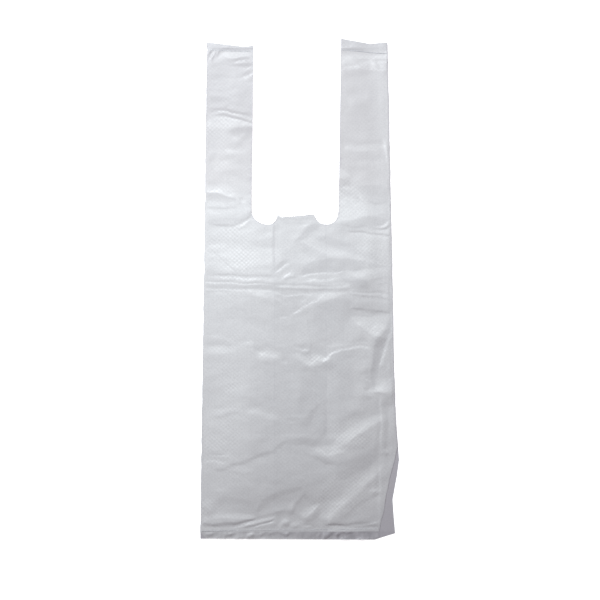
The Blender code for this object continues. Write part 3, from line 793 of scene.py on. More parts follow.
sample = pane(np.full(5, 100.0), np.linspace(96, 104, 5), 0.2, 3,
              [(90, 97), (110, 97), (110, 103), (90, 103)])
print("Heights across a sample pane:", sample[0].round(2), "mm")

# %% [markdown]
# Creases that cross just add up. That is how film behaves as long as the slopes are small. Each is
# worked out only for the places near it, which keeps this quick. Along with the height we keep
# which way each place's pane leans: 1 on a steep pane that faces the window, -1 on one that faces
# away.
# The finish paints light and shade from it.

# %% All of them added up
FLANK_GAIN = 2.0
FLANK_PER_WIDTH = 1.1
STEEP_PANE = 0.18
SLOW_WOBBLE, QUICK_WOBBLE = 0.5, 0.15


def near_points(across, down, points, reach):
    """Which places lie within reach of a crease's or pane's points."""
    low = np.min(points, axis=0) - reach
    high = np.max(points, axis=0) + reach
    return (across > low[0]) & (across < high[0]) & (down > low[1]) & (down < high[1])


def creased(across, down):
    """All creases' and panes' heights added up, and which way the panes lean, for painted light and
    shade.
    """
    shifted_across = (across + SLOW_WOBBLE * wobble(across, down, 11, 3)
                      + QUICK_WOBBLE * wobble(across, down, 4, 5))
    shifted_down = (down + SLOW_WOBBLE * wobble(across, down, 12, 7)
                    + QUICK_WOBBLE * wobble(across, down, 4, 11))
    total, pane_lean = np.zeros(across.shape), np.zeros(across.shape)
    for slope, flank, points in CREASES:
        widest = max(p[2] for p in points)
        flank = FLANK_GAIN * flank + FLANK_PER_WIDTH * widest
        near = near_points(shifted_across, shifted_down, points, widest / 2 + flank)
        total[near] += crease(shifted_across[near], shifted_down[near], slope, flank, points)
    for tilt, reach, corners in PANES:
        near = near_points(shifted_across, shifted_down, [(a, d, 0) for a, d in corners], reach)
        height, cover = pane(shifted_across[near], shifted_down[near], tilt, reach, corners)
        total[near] += height
        pane_lean[near] += cover * np.clip(tilt / STEEP_PANE, -1, 1)
    return total, np.clip(pane_lean, -1, 1)


relief_there = creased(np.array([345.0, 352.0]), np.array([330.0, 330.0]))[0]
print("Relief at two places:", relief_there.round(2), "mm")

# %% [markdown]
# ## The folded tube
#
# Now the tube itself. Cut across anywhere, it is one closed ring: front panel, round the right
# fold, in along the gusset's upper leaf, round its inner fold, out along the lower leaf, round to
# the back panel, and the same again at the left. Each row of the mesh is such a ring. The front
# panel gets a point every 0.8 mm, because that is where the creases are. The hidden layers get few.
#
# The points also carry four values for the film's finish: whether they are on the front panel,
# whether they face the window, which way their pane leans, and how clearly the emboss shows. The
# last is noted down as soft ovals (**across, down, half width, half length, share**). They mark
# where the film catches the light: there it is painted whiter, a painted sheen, and the emboss
# shows more.

# %% Where the emboss and its painted sheen show clearly
SHEEN_OVALS = [
    (238, 249, 44, 30, 0.6), (216, 128, 16, 16, 0.25), (228, 162, 26, 40, 0.08),
    (364, 170, 26, 46, 0.12), (350, 202, 20, 24, 0.5), (298, 240, 28, 22, 0.25),
    (374, 253, 20, 30, 0.75), (264, 304, 12, 12, 0.35), (355, 432, 30, 16, 0.85),
    (350, 492, 34, 26, 0.85), (374, 325, 18, 12, 0.35), (268, 355, 14, 9, 0.6),
    (314, 360, 12, 9, 0.5), (345, 372, 22, 16, 0.1), (262, 413, 18, 9, 0.35),
    (316, 506, 12, 10, 0.5), (206, 508, 14, 10, 0.4), (335, 452, 22, 8, 0.4),
    (212, 430, 18, 22, 0.4)]
print(len(SHEEN_OVALS), "ovals where the emboss shows")

# %% [markdown]
# Rows lie closer together where thin creases run across the bag. The front panel's dents stop just
# above the gusset's upper leaf, because no layer can pass through the next one. At the side folds
# and at the seals the film is held, so the creases fade out there. Outside the bottom seal the
# skirt shrank unevenly. Its puckers are two slow waves that meet, and a finer one over them.

# %% The creased front panel
OVER_THE_GUSSET = 0.2
LEAST_ROOM = 0.15
HELD_AT_FOLD, HELD_AT_SEAL = (0.3, 3.2), (0.5, 2.5)
LEFT_AT_SEAL = 0.3
PUCKER_HEIGHT, FINE_SHARE = 0.6, 0.4


def skirt_puckers(across, down):
    """Height of the puckers in the bottom skirt."""
    broad = wobble(across + 1.4 * down, down / 2, 6, 27) * wobble(across, down / 2, 9, 28)
    fine = FINE_SHARE * wobble(across, down / 3, 3.2, 29)
    return PUCKER_HEIGHT * (broad + fine) * rise(down, 531.5, 535)


def off_the_folds(across, down):
    """How far a place lies in from the nearer side fold of the front panel."""
    return np.minimum(across - left_fold(down), right_fold(FRONT_RIGHT, down) - across)


def front_heights(across, down):
    """The creased front panel. Its dents stop short of the gusset under it."""
    calm = calm_front(across, down)
    off_seal = rise(np.abs(down - BOTTOM_SEAL), *HELD_AT_SEAL)
    free = rise(off_the_folds(across, down), *HELD_AT_FOLD)
    free = free * (LEFT_AT_SEAL + (1 - LEFT_AT_SEAL) * off_seal)
    relief = (creased(across, down)[0] + skirt_puckers(across, down)) * free
    room = np.maximum((calm - BACK - pitch(across, down)) / 2 - OVER_THE_GUSSET, LEAST_ROOM)
    return calm + np.where(relief < 0, -room * (1 - np.exp(relief / room)), relief)


print("Creased film, left to right:",
      front_heights(np.linspace(210, 380, 5)[None], np.full((1, 5), 350.0)).round(1)[0], "mm")

# %% [markdown]
# The ring itself is put together from **runs**, which are panels and leaves, and **turns**, which
# are the single points where the film goes round a fold.

# %% Rings and rows
FRONT_COLUMNS = 236
COLUMN_GAP = 0.8
LEAF_COLUMNS = 7
BACK_COLUMNS = 24
LEFT_INNER, RIGHT_INNER = 275.5, 324.5
LEFT_WOBBLE, RIGHT_WOBBLE = 0.25, 0.2
BACK_AIR, BACK_WAVE = 0.5, 0.5


def rows_down():
    """Rows of the mesh from the top, about 1 mm apart, and closer where thin creases lie."""
    spans = [(TOP, 47, 0.9), (47, 78, 0.55), (78, 106, 1.3), (106, 128, 0.5), (128, 186, 1.2),
             (186, 268, 0.8), (268, 300, 0.5), (300, 368, 0.8), (368, 452, 1.0), (452, 466, 0.6),
             (466, 508, 1.0), (508, 532, 0.55), (532, BOTTOM, 0.8)]
    rows = [np.linspace(a, b, round((b - a) / step), endpoint=False) for a, b, step in spans]
    return np.concatenate(rows + [[BOTTOM]])[:, None]


def ring_points():
    """Across, down, height and front panel (1 on it) of every point: rows by ring columns."""
    down = rows_down()
    left = left_fold(down) + LOOP + LEFT_WOBBLE * wobble(0, down, 9, 21)
    front_right = right_fold(FRONT_RIGHT, down) - LOOP + RIGHT_WOBBLE * wobble(0, down, 8, 22)
    back_right = np.maximum(right_fold(BACK_RIGHT, down) - LOOP, front_right)
    parts = []

    def run(start, end, count, height, front=0.0):
        across = start + (end - start) * np.arange(count) / count
        across, deep = np.broadcast_arrays(across, down)
        parts.append((across, height(across, deep), np.full(across.shape, front)))

    def turn(across, height):
        across, height = np.broadcast_arrays(across, height, down)[:2]
        parts.append((across, height, np.zeros(across.shape)))

    def leaf(side):
        return lambda across, deep: (
            (BACK + calm_front(across, deep)) / 2 + side * pitch(across, deep) / 2)

    def flat(across, deep):
        wave = 1 + BACK_WAVE * wobble(across, deep, 20, 23)
        return BACK + BACK_AIR * air(across, deep) * wave

    def mid(across):
        return (BACK + calm_front(across, down)) / 2

    loop_right = pitch(front_right, down) / 2
    run(left, front_right, FRONT_COLUMNS, front_heights, front=1.0)
    turn(front_right + loop_right, BACK + 5 * loop_right)
    run(front_right, RIGHT_INNER + LOOP, LEAF_COLUMNS, leaf(1))
    turn(RIGHT_INNER, mid(RIGHT_INNER))
    run(RIGHT_INNER + LOOP, back_right, LEAF_COLUMNS, leaf(-1))
    turn(back_right + loop_right, BACK + loop_right)
    run(back_right, left, BACK_COLUMNS, flat)
    turn(left - LOOP, BACK + LOOP)
    run(left, LEFT_INNER - LOOP, LEAF_COLUMNS, leaf(-1))
    turn(LEFT_INNER, mid(LEFT_INNER))
    run(LEFT_INNER - LOOP, left, LEAF_COLUMNS, leaf(1))
    turn(left - LOOP, BACK + 5 * LOOP)
    across, height, front = (np.concatenate([p[i] for p in parts], axis=1) for i in range(3))
    return across, np.broadcast_to(down, across.shape), height, front


print(len(rows_down()), "rows, with", FRONT_COLUMNS, "points of each on the front panel")

# %% [markdown]
# The mesh carries the values that the finish needs. A point's tilt comes from its neighbours in its
# row and in its column. `loose` is for the crinkles, which come later: it is 1 where the film can
# move, and 0 on the hidden layers, at the side folds and at the seals.

# %% The tube as a mesh
LOOSE_AFTER = 6
FACES_WINDOW = (0.05, 0.25)
EMBOSS_ABOVE, EMBOSS_MORE_BELOW = 0.16, 0.18
OVAL_EDGE = (0.5, 1.15)


def emboss_and_painted_sheen(across, down):
    """How clearly the emboss shows and how strong its painted sheen is, from 0 to 1: a little
    everywhere, and more in the ovals.
    """
    shows = EMBOSS_ABOVE + EMBOSS_MORE_BELOW * rise(down, CROSS_FOLD, 340)
    for spot_across, spot_down, half_width, half_length, share in SHEEN_OVALS:
        off = np.hypot((across - spot_across) / half_width, (down - spot_down) / half_length)
        shows = shows + share * (1 - rise(off, *OVAL_EDGE))
    return np.minimum(shows, 1) * (1 - rise(down, BOTTOM_SEAL, 532))


def folded_tube():
    """The film's middle surface as one mesh, open at both ends."""
    across, down, height, front = ring_points()
    rows, columns = across.shape
    points = in_frame(across, trimmed(across, down), height).reshape(-1, 3)
    low = np.arange(rows - 1)[:, None] * columns
    here, there = np.arange(columns), (np.arange(columns) + 1) % columns
    quads = np.stack([low + here, low + there, low + columns + there, low + columns + here], -1)
    made = mesh_piece("folded_tube", points, faces=quads.reshape(-1, 4)[:, ::-1].tolist())

    free = rise(off_the_folds(across, down), 0, LOOSE_AFTER)
    for seal_row in (TOP_SEAL, BOTTOM_SEAL):
        free = free * rise(np.abs(down - seal_row), 1, LOOSE_AFTER)
    row_gaps = np.gradient(down, axis=0)
    tilt = np.gradient(height, axis=1) / COLUMN_GAP + np.gradient(height, axis=0) / row_gaps
    pane_lean = np.zeros(across.shape)
    front_only = (slice(None), slice(0, FRONT_COLUMNS))
    pane_lean[front_only] = creased(across[front_only], down[front_only])[1]
    for name, values in (("loose", front * free), ("front_panel", front),
                         ("facing", front * rise(tilt, *FACES_WINDOW)),
                         ("painted_sheen", front * emboss_and_painted_sheen(across, down)), ("pane_lean", pane_lean)):
        attribute = made.data.attributes.new(name, "FLOAT", "POINT")
        attribute.data.foreach_set("value", values.ravel())
    return made


tube = folded_tube()
print("Tube:", len(tube.data.vertices), "points")

# %% [markdown]
# ## The film's finish
#
# Blown HDPE film is crisp and milky. It is embossed between rollers with a fine diamond pattern,
# which makes it feel less slippery and takes away most of its gloss, so highlights are wide and
# soft. The diamonds' slanting rows are 3 mm apart: two waves, one across the bag and one along it,
# multiply into such a pattern.
#
# Light goes through one layer and comes back from the next, so four layers look whiter than two:
# the bands over the gussets are lighter than the middle, with a faint dark line at each gusset's
# inner fold. The skirts outside the seals are painted greyer, most at the right: painted shade. The
# back panel's flap and the other hidden layers are greyer too, partly because fewer layers lie
# there and partly as painted shade. The handles are painted greyer, and more towards their ends,
# the left
# one most: painted shade. Along the right fold, above the cross fold, the film is painted whiter, a
# painted pool of light. Below the cross fold, the middle is painted greyer, and so is the low
# corner
# at the right: painted shade.
#
# Everything is placed by Object coordinates. First come the masks, which say where on the film a
# point is, each 0 or 1 with a soft edge. Each line of the table fades a mask in along one axis,
# between two places on the mat, and a mask with more lines is their product. The last four masks
# come from the values that the points carry.

# %% Where on the film
LEFT_LINE = (274.2 - MAT_ACROSS) * MM
RIGHT_LINE = (326.2 - MAT_ACROSS) * MM
LINE_HALF = 0.9 * MM
LAYER_EDGE = 1.2 * MM
SWAY = 2.2 * MM
HDPE_IOR = 1.54

film_look = bpy.data.materials.new("hdpe_film_blown_and_embossed")
film_look.use_nodes = True
tree = film_look.node_tree
shader = tree.nodes["Principled BSDF"]
shader.inputs["IOR"].default_value = HDPE_IOR
shader.inputs["Specular IOR Level"].default_value = 0.32

place = add(tree, "ShaderNodeTexCoord").outputs["Object"]
spot = add(tree, "ShaderNodeSeparateXYZ", {0: place})
drift = add(tree, "ShaderNodeTexNoise", {"Vector": place, "Scale": 45.0, "Detail": 1.0})
sway = add(tree, "ShaderNodeMath", {0: drift, 1: 0.5}, operation="SUBTRACT")
swayed = add(tree, "ShaderNodeMath", {0: sway, 1: SWAY, 2: spot.outputs["X"]},
             operation="MULTIPLY_ADD")

layers, lines = [], []
for line, edge in ((LEFT_LINE, LAYER_EDGE), (RIGHT_LINE, -LAYER_EDGE)):
    beyond = add(tree, "ShaderNodeMath", {0: swayed, 1: line}, operation="SUBTRACT")
    aside = add(tree, "ShaderNodeMath", {0: beyond}, operation="ABSOLUTE")
    for found, value, reach in ((layers, beyond, edge), (lines, aside, LINE_HALF)):
        found.append(add(tree, "ShaderNodeMapRange", {
            "Value": value, "From Min": 0.0, "From Max": reach, "To Min": 1.0, "To Max": 0.0},
            interpolation_type="SMOOTHSTEP"))
masks = {"four layers": add(tree, "ShaderNodeMath", dict(enumerate(layers)), operation="ADD"),
         "fold lines": add(tree, "ShaderNodeMath", dict(enumerate(lines)), operation="ADD")}

# These masks place painted light and shade: painted shade on the skirts, the handles and their
# ends, the middle below the cross fold and the low corner, and painted light along the right
# margin.
for name, axis, start, end, least in (
        ("shaded bottom skirt", "Y", 531.0, 533.0, 0.0), ("shaded bottom skirt", "X", 230.0, 395.0, 0.1),
        ("shaded top skirts", "Y", 51.5, 49.5, 0.0), ("handles", "Y", 212.0, 175.0, 0.0),
        ("shaded handle ends", "Y", 180.0, 85.0, 0.0), ("shaded handle ends", "X", 330.0, 215.0, 0.35),
        ("lit right margin", "Y", 312.0, 288.0, 0.0), ("lit right margin", "X", 362.0, 384.0, 0.0),
        ("shaded middle", "Y", 335.0, 365.0, 0.0), ("shaded middle", "Y", 494.0, 476.0, 0.0),
        ("shaded middle", "X", 243.0, 270.0, 0.0), ("shaded middle", "X", 357.0, 335.0, 0.0),
        ("shaded low corner", "Y", 498.0, 522.0, 0.0), ("shaded low corner", "X", 335.0, 375.0, 0.0)):
    none, full = (in_frame(at, at, 0)["XY".index(axis)] for at in (start, end))
    fade = add(tree, "ShaderNodeMapRange", {
        "Value": spot.outputs[axis], "From Min": none, "From Max": full, "To Min": least,
        "To Max": 1.0}, interpolation_type="SMOOTHSTEP")
    if name in masks:
        fade = add(tree, "ShaderNodeMath", {0: masks[name], 1: fade}, operation="MULTIPLY")
    masks[name] = fade

front_panel, painted_sheen, pane_lean, facing = (
    add(tree, "ShaderNodeAttribute", attribute_name=name).outputs["Fac"]
    for name in ("front_panel", "painted_sheen", "pane_lean", "facing"))
for name, value, none, full in (("hidden layers", front_panel, 1.0, 0.0),
                                ("painted_sheen", painted_sheen, 0.0, 1.0),
                                ("lit panes", pane_lean, 0.0, 1.0), ("shaded panes", pane_lean, 0.0, -1.0)):
    masks[name] = add(tree, "ShaderNodeMapRange", {
        "Value": value, "From Min": none, "From Max": full})
print("Masks:", ", ".join(masks))

# %% [markdown]
# Now the colour. Four soft noises break up the white: long faint **streaks** from the blowing,
# **clouds** where the film is a little thicker, **blotches** where the bar squeezed the bottom
# skirt, and a fine **grit**, 1.4 mm across and so a bit coarser than the real one. Each line of the
# table then turns the white towards another colour where its mask is 1, and `most` is how far.
# Steep panes that lean to the window are painted a touch whiter, a painted highlight, and those
# that lean away are painted greyer, a painted shade.

# %% The film's white
FILM_WHITE = "#dddcdd"

noises = {}
for name, scale, detail, least, most in (
        ("streaks", (420.0, 9.0, 60.0), 2.0, 0.0, 1.0),
        ("clouds", (34.0, 34.0, 34.0), 3.0, 0.0, 1.0),
        ("blotches", (150.0, 110.0, 60.0), 4.0, 0.35, 0.65),
        ("grit", (700.0, 700.0, 700.0), 2.0, 0.35, 0.65)):
    stretch = add(tree, "ShaderNodeMapping", {"Vector": place, "Scale": scale})
    noises[name] = add(tree, "ShaderNodeTexNoise", {
        "Vector": stretch, "Scale": 1.0, "Detail": detail})
    masks[name] = add(tree, "ShaderNodeMapRange", {
        "Value": noises[name], "From Min": least, "From Max": most})
masks["blotches"] = add(tree, "ShaderNodeMath", {0: masks["blotches"], 1: masks["shaded bottom skirt"]},
                        operation="MULTIPLY")

white = colour(FILM_WHITE)
for name, most, code in (
        ("four layers", 0.3, "#e7e6e7"), ("fold lines", 0.24, "#b6b6bc"),
        # painted shade: the handles are greyer, and more towards their ends
        ("handles", 1.0, "#cfcbcc"), ("shaded handle ends", 1.0, "#a8a3a6"),
        # painted light along the right margin, and painted shade in the middle below the cross fold
        ("lit right margin", 0.4, "#f8f7f8"), ("shaded middle", 0.2, "#b9b8bb"),
        # painted shade in the low corner at the right
        ("shaded low corner", 0.27, "#b4b2b7"),
        # painted shade on the top and bottom skirts, most at the right
        ("shaded top skirts", 0.3, "#aeadb3"), ("shaded bottom skirt", 1.0, "#c2bec4"),
        # hidden layers and the flap: greyer partly from fewer layers and partly as painted shade
        ("blotches", 0.62, "#77747c"), ("hidden layers", 0.8, "#bdb7bf"),
        # the sheen ovals are painted whiter: painted sheen
        ("streaks", 0.17, "#a0a0a6"), ("clouds", 0.06, "#c6c5cb"), ("painted_sheen", 0.36, "#f8f8f8"),
        # painted highlight on panes that face the window, painted shade on those that face away
        ("lit panes", 0.28, "#fafafa"), ("shaded panes", 0.2, "#a4a3a9"),
        ("grit", 0.14, "#8c8c92")):
    share = add(tree, "ShaderNodeMath", {0: masks[name], 1: most}, operation="MULTIPLY")
    white = add(tree, "ShaderNodeMix", {0: share, 6: white, 7: colour(code)}, data_type="RGBA")
print("The film starts from", FILM_WHITE, "and", len(tree.nodes), "nodes change it")

# %% [markdown]
# Last come the emboss and the gloss. The emboss is drawn in tone, because each small diamond
# scatters the light its own way, and a little as a bump. Its tone is strong only in the ovals of
# painted sheen and on strips that face the window: there the bright diamonds are a painted
# highlight, the sparkle of the lamp on them. The points carry both values. The diamonds are drawn
# twice as large as the real ones, which would be lost here.

# %% Emboss and gloss
DIAMOND_WIDTH = 4.55 * MM
DIAMOND_LENGTH = 4.1 * MM
EMBOSS_DEPTH = 0.05 * MM
EMBOSS_TONE = 0.17
FACING_SHARE = 0.6
FULL_TURN = 2 * math.pi

waves = []
for axis, size in ((swayed, DIAMOND_WIDTH), (spot.outputs["Y"], DIAMOND_LENGTH)):
    phase = add(tree, "ShaderNodeMath", {0: axis, 1: FULL_TURN / size}, operation="MULTIPLY")
    waves.append(add(tree, "ShaderNodeMath", {0: phase}, operation="SINE"))
diamonds = add(tree, "ShaderNodeMath", dict(enumerate(waves)), operation="MULTIPLY")

# painted highlight: the emboss tone is strongest on strips facing the window and in the sheen ovals
shows = add(tree, "ShaderNodeMath", {0: facing, 1: FACING_SHARE, 2: painted_sheen},
            operation="MULTIPLY_ADD")
patches = add(tree, "ShaderNodeMapRange", {
    "Value": masks["clouds"], "From Min": 0.35, "From Max": 0.65, "To Min": 0.6, "To Max": 1.15},
    interpolation_type="SMOOTHSTEP")
shows = add(tree, "ShaderNodeMath", {0: shows, 1: patches}, operation="MULTIPLY")
emboss = add(tree, "ShaderNodeMath", {0: diamonds, 1: shows}, operation="MULTIPLY")
share = add(tree, "ShaderNodeMath", {0: emboss, 1: EMBOSS_TONE, 2: EMBOSS_TONE},
            operation="MULTIPLY_ADD")
white = add(tree, "ShaderNodeMix", {0: share, 6: white, 7: colour("#fcfcfd")}, data_type="RGBA")
tree.links.new(white.outputs[2], shader.inputs["Base Color"])

relief = add(tree, "ShaderNodeMath", {0: noises["grit"], 1: emboss}, operation="ADD")
bump = add(tree, "ShaderNodeBump", {"Height": relief, "Strength": 1.0, "Distance": EMBOSS_DEPTH})
tree.links.new(bump.outputs["Normal"], shader.inputs["Normal"])
gloss = add(tree, "ShaderNodeMapRange", {
    "Value": masks["clouds"], "From Min": 0.3, "From Max": 0.7, "To Min": 0.36, "To Max": 0.44})
tree.links.new(gloss.outputs["Result"], shader.inputs["Roughness"])
print(len(tree.nodes), "nodes in the film's finish")

# %% [markdown]
# ## Crinkles with Geometry Nodes
#
# Between the big creases the film is never smooth: it breaks into small flat facets with faint
# ridges between them, a little longer across the bag than along it. That follows a rule, so it is a
# job for Geometry Nodes. The tree lifts every loose point by soft noise, and by the distance to the
# edges of random cells, which makes the facets. It lifts and hardly ever lowers, because the gusset
# lies just below. Its sizes are inputs, so a crisper or softer film needs no new tree.

# %% Crinkle tree


def new_tree(name, kinds):
    """An empty Geometry Nodes tree with named inputs, and each input's identifier by its name."""
    group = bpy.data.node_groups.new(name, "GeometryNodeTree")
    inputs = {}
    for label, kind in kinds:
        inputs[label] = group.interface.new_socket(
            name=label, in_out="INPUT", socket_type="NodeSocket" + kind).identifier
    group.interface.new_socket(name="Geometry", in_out="OUTPUT", socket_type="NodeSocketGeometry")
    return group, inputs


LONGER_ACROSS = (0.75, 1.25, 0.0)
SWELL_FLOOR = 0.3

crinkle, crinkle_inputs = new_tree("film_crinkle", (
    ("Geometry", "Geometry"), ("Swell height", "Float"), ("Swell size", "Float"),
    ("Facet height", "Float"), ("Facet size", "Float"), ("Seed", "Float"), ("Film", "Material")))

given = add(crinkle, "NodeGroupInput").outputs
where = add(crinkle, "GeometryNodeInputPosition")
drawn_out = add(crinkle, "ShaderNodeVectorMath", {0: where, 1: LONGER_ACROSS},
                operation="MULTIPLY")
places = {}
for size in ("Swell size", "Facet size"):
    one_over = add(crinkle, "ShaderNodeMath", {0: 1.0, 1: given[size]}, operation="DIVIDE")
    places[size] = add(crinkle, "ShaderNodeVectorMath", {0: drawn_out, "Scale": one_over},
                       operation="SCALE")

swell = add(crinkle, "ShaderNodeTexNoise", {
    "Vector": places["Swell size"], "W": given["Seed"], "Scale": 1.0, "Detail": 2.0},
    noise_dimensions="4D")
facets = add(crinkle, "ShaderNodeTexVoronoi", {
    "Vector": places["Facet size"], "W": given["Seed"], "Scale": 1.0},
    voronoi_dimensions="4D", feature="DISTANCE_TO_EDGE")
upward = add(crinkle, "ShaderNodeMath", {0: swell, 1: SWELL_FLOOR}, operation="SUBTRACT")
swelled = add(crinkle, "ShaderNodeMath", {0: upward, 1: given["Swell height"]},
              operation="MULTIPLY")
lifted = add(crinkle, "ShaderNodeMath", {0: facets, 1: given["Facet height"], 2: swelled},
             operation="MULTIPLY_ADD")
loose = add(crinkle, "GeometryNodeInputNamedAttribute", {"Name": "loose"}, data_type="FLOAT")
held = add(crinkle, "ShaderNodeMath", {0: lifted, 1: loose}, operation="MULTIPLY")
up = add(crinkle, "ShaderNodeCombineXYZ", {"Z": held})
moved = add(crinkle, "GeometryNodeSetPosition", {"Geometry": given["Geometry"], "Offset": up})
real = add(crinkle, "GeometryNodeRealizeInstances", {0: moved})
finished = add(crinkle, "GeometryNodeSetMaterial", {"Geometry": real, "Material": given["Film"]})
add(crinkle, "NodeGroupOutput", {0: finished})


def nodes_on(piece, group, inputs, values):
    """Put a tree on a piece, with its inputs set by their identifiers."""
    modifier = piece.modifiers.new(group.name, "NODES")
    modifier.node_group = group
    for name, value in values.items():
        modifier[inputs[name]] = value


def baked(piece, name):
    """The piece with all its modifiers carried out, as a plain mesh object. The old one goes."""
    mesh = bpy.data.meshes.new_from_object(
        piece.evaluated_get(bpy.context.evaluated_depsgraph_get()))
    made = in_scene(name, mesh)
    bpy.data.objects.remove(piece)
    return made


nodes_on(tube, crinkle, crinkle_inputs, {
    "Swell height": 0.7 * MM, "Swell size": 16 * MM, "Facet height": 0.45 * MM,
    "Facet size": 15 * MM, "Seed": 4.0, "Film": film_look})
tube = baked(tube, "crinkled_tube")
print("Crinkled film spans", [round(v / MM, 1) for v in tube.dimensions], "mm")

# %% [markdown]
# ## Thickness and the die cut
#
# Most of the mesh is nearly flat, so Decimate takes out the points that no crease needs. Solidify
# then gives the film a thickness, which also closes its ends. The die is a closed block with the
# mouth's outline: straight handle edges, a round lobe beside each handle, and the torn edge of the
# tab between them, where the bag was pulled off the rack. A Boolean cuts it out of all the layers
# at once, as the real die does.

# %% Die cut
KEEP = 0.24
DIE_BELOW, DIE_ABOVE = -10, 30
TOOTH_GAP, TOOTH_HEIGHT = 1.2, 0.3
SHARP_OVER = math.radians(60)
HANDLE_EDGES = [(341.3, 20), (253.6, 20)]
TAB_LEFT, TAB_RIGHT = (277.5, 214.5), (313.5, 214.3)
LEFT_LOBE = [(251.3, 206), (251.9, 213.5), (254.6, 218.6), (258, 221.4), (263, 223.8), (268, 224.6),
             (272.3, 223.4), (275.2, 220.8), (276.8, 217.6)]
RIGHT_LOBE = [(315.6, 217.6), (317.6, 221), (321, 223.4), (326, 224.4), (331, 223.6),
              (335, 220.8), (337.4, 216.6), (338.5, 210), (338.7, 204)]


def torn_tab():
    """The tab's edge: a nick behind its left tip, then small teeth along the tear."""
    start, end = (282.2, 217.2), TAB_RIGHT
    teeth = [TAB_LEFT, (278.9, 215.2), (280.4, 216.6), start]
    for across in np.arange(start[0] + TOOTH_GAP, end[0] - 1.0, TOOTH_GAP):
        share = (across - start[0]) / (end[0] - start[0])
        line = start[1] + (end[1] - start[1]) * share
        teeth.append((across, line + TOOTH_HEIGHT * float(wobble(across, 0.0, 1.6, 31))))
    return teeth + [TAB_RIGHT, (314.4, 215.6)]


def rounded_places(places):
    """A smooth line through places on the mat, as arrays of across and down."""
    return rounded([(across, down, 0) for across, down in places])[:, :2].T


def mouth_die():
    """A block with the mouth's outline, from below the table to well above the bag."""
    left, right = (list(zip(*rounded_places(lobe))) for lobe in (LEFT_LOBE, RIGHT_LOBE))
    across, down = np.array(HANDLE_EDGES + left + torn_tab() + right).T
    count = len(across)
    points = np.vstack([in_frame(across, down, end) for end in (DIE_BELOW, DIE_ABOVE)])
    walls = [(i, (i + 1) % count, count + (i + 1) % count, count + i) for i in range(count)]
    faces = [tuple(reversed(range(count))), tuple(range(count, 2 * count))] + walls
    return mesh_piece("mouth_die", points, faces=faces)


thin_out = tube.modifiers.new("fewer points", "DECIMATE")
thin_out.ratio = KEEP
wall = tube.modifiers.new("film thickness", "SOLIDIFY")
wall.thickness = FILM * MM
wall.offset = 0
die = mouth_die()
cut = tube.modifiers.new("die cut", "BOOLEAN")
cut.operation = "DIFFERENCE"
cut.solver = "MANIFOLD"
cut.object = die
film = baked(tube, "carrier_bag_film")
bpy.data.objects.remove(die)
film.data.shade_smooth()
film.data.set_sharp_from_angle(angle=SHARP_OVER)
print("Film:", len(film.data.polygons), "faces,",
      sum(len(p.vertices) - 2 for p in film.data.polygons), "triangles,",
      [a.name for a in film.data.attributes])

# %% [markdown]
# ## Heat seals
#
# A hot bar presses the layers together and melts them into one line, a millimetre wide, which
# sets hard and glassy. The bar's face is ribbed, so the line is a row of small beads. Beads that
# follow a line are made for Geometry Nodes: the tree sweeps a flat cord along the line and sets a
# bead on it at every pitch.

# %% Seal tree
BEAD_SHAPE = (0.7, 1.25, 0.45)

seals, seal_inputs = new_tree("ribbed_heat_seal", (
    ("Line", "Geometry"), ("Bead pitch", "Float"), ("Bead radius", "Float"),
    ("Cord radius", "Float"), ("Film", "Material")))

given = add(seals, "NodeGroupInput").outputs
line = add(seals, "GeometryNodeMeshToCurve", {0: given["Line"]})
ring = add(seals, "GeometryNodeCurvePrimitiveCircle", {
    "Resolution": 8, "Radius": given["Cord radius"]})
cord = add(seals, "GeometryNodeCurveToMesh", {0: line, 1: ring, "Fill Caps": True})
spots = add(seals, "GeometryNodeResampleCurve", {"Curve": line, "Length": given["Bead pitch"]},
            mode="LENGTH")
bead = add(seals, "GeometryNodeMeshIcoSphere", {"Radius": given["Bead radius"], "Subdivisions": 2})
beads = add(seals, "GeometryNodeInstanceOnPoints", {
    "Points": spots, "Instance": bead, "Scale": BEAD_SHAPE})
joined = add(seals, "GeometryNodeJoinGeometry")
for part in (cord, beads):
    seals.links.new(part.outputs[0], joined.inputs[0])
real = add(seals, "GeometryNodeRealizeInstances", {0: joined})
finished = add(seals, "GeometryNodeSetMaterial", {"Geometry": real, "Material": given["Film"]})
add(seals, "NodeGroupOutput", {0: finished})
print(len(seals.nodes), "nodes in the seal's tree")

# %% [markdown]
# ### The look of melted film
#
# Melted HDPE has lost its emboss and most of its whiteness, so it is smoother, greyer and glossier.

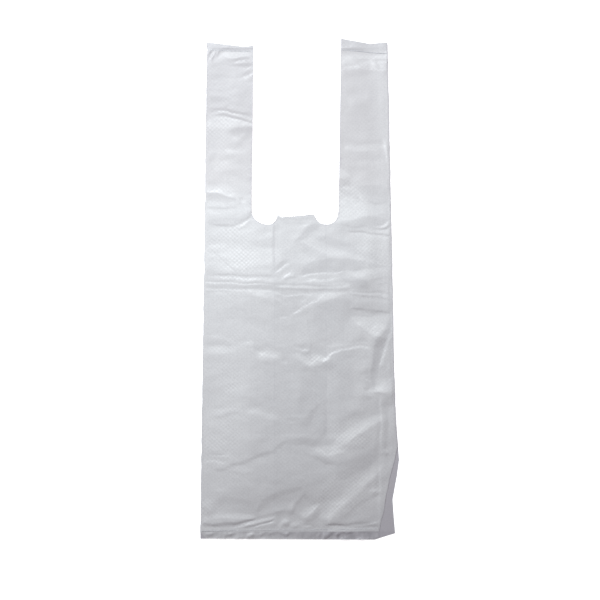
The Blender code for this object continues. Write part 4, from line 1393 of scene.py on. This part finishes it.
# %% Seal material
seal_look = bpy.data.materials.new("hdpe_film_melted")
seal_look.use_nodes = True
tree = seal_look.node_tree
shader = tree.nodes["Principled BSDF"]
shader.inputs["IOR"].default_value = HDPE_IOR
place = add(tree, "ShaderNodeTexCoord").outputs["Object"]
melt = add(tree, "ShaderNodeTexNoise", {"Vector": place, "Scale": 260.0, "Detail": 2.0})
melted = add(tree, "ShaderNodeMapRange", {"Value": melt, "From Min": 0.35, "From Max": 0.65})
glassy = add(tree, "ShaderNodeMix", {0: melted, 6: colour("#c2c3c8"), 7: colour("#dadbdf")},
             data_type="RGBA")
tree.links.new(glassy.outputs[2], shader.inputs["Base Color"])
gloss = add(tree, "ShaderNodeMapRange", {
    "Value": melt, "From Min": 0.3, "From Max": 0.7, "To Min": 0.18, "To Max": 0.34})
tree.links.new(gloss.outputs["Result"], shader.inputs["Roughness"])
print(len(tree.nodes), "nodes in the melted film's finish")

# %% [markdown]
# Three seals close this bag: one across each handle and one across the bottom. None of them is
# quite straight, because the film moves a little under the hot bar.

# %% Seals in place
LEFT_SEAL = [(207.4, 49.6), (222, 50.2), (238, 50.8), (253.3, 50.9)]
RIGHT_SEAL = [(341.2, 49.6), (356, 50.6), (370, 52.2), (386.6, 53.4)]
LOW_SEAL = [(200.8, 531.4), (232, 530.8), (268, 530.3), (304, 530.0), (342, 529.6), (379.0, 529.0)]
SUNK = 0.05


def seal(name, lines):
    """One piece with a beaded cord along each line, a little sunk into the front panel."""
    points, edges = [], []
    for places in lines:
        across, down = rounded_places(places)
        first = len(points)
        points += in_frame(across, down, calm_front(across, down) - SUNK).tolist()
        edges += [(first + i, first + i + 1) for i in range(len(across) - 1)]
    piece = mesh_piece(name + "_line", points, edges=edges)
    nodes_on(piece, seals, seal_inputs, {
        "Bead pitch": 1.5 * MM, "Bead radius": 0.36 * MM, "Cord radius": 0.24 * MM,
        "Film": seal_look})
    piece = baked(piece, name)
    piece.data.shade_smooth()
    print(name, len(piece.data.polygons), "faces")
    return piece


handle_seals = seal("handle_seals", [LEFT_SEAL, RIGHT_SEAL])
bottom_seal = seal("bottom_seal", [LOW_SEAL])

# %% [markdown]
# ## Hand over to the frame
#
# The film stands for the plain model's bag, and everything rides on its one body. The tube was
# 650 mm round and 502 mm long before folding, and the die took out about a seventh of it.

# %% Ride, and hide the plain part
for piece in (film, handle_seals, bottom_seal):
    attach(piece, "root")
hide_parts("carrier_bag")
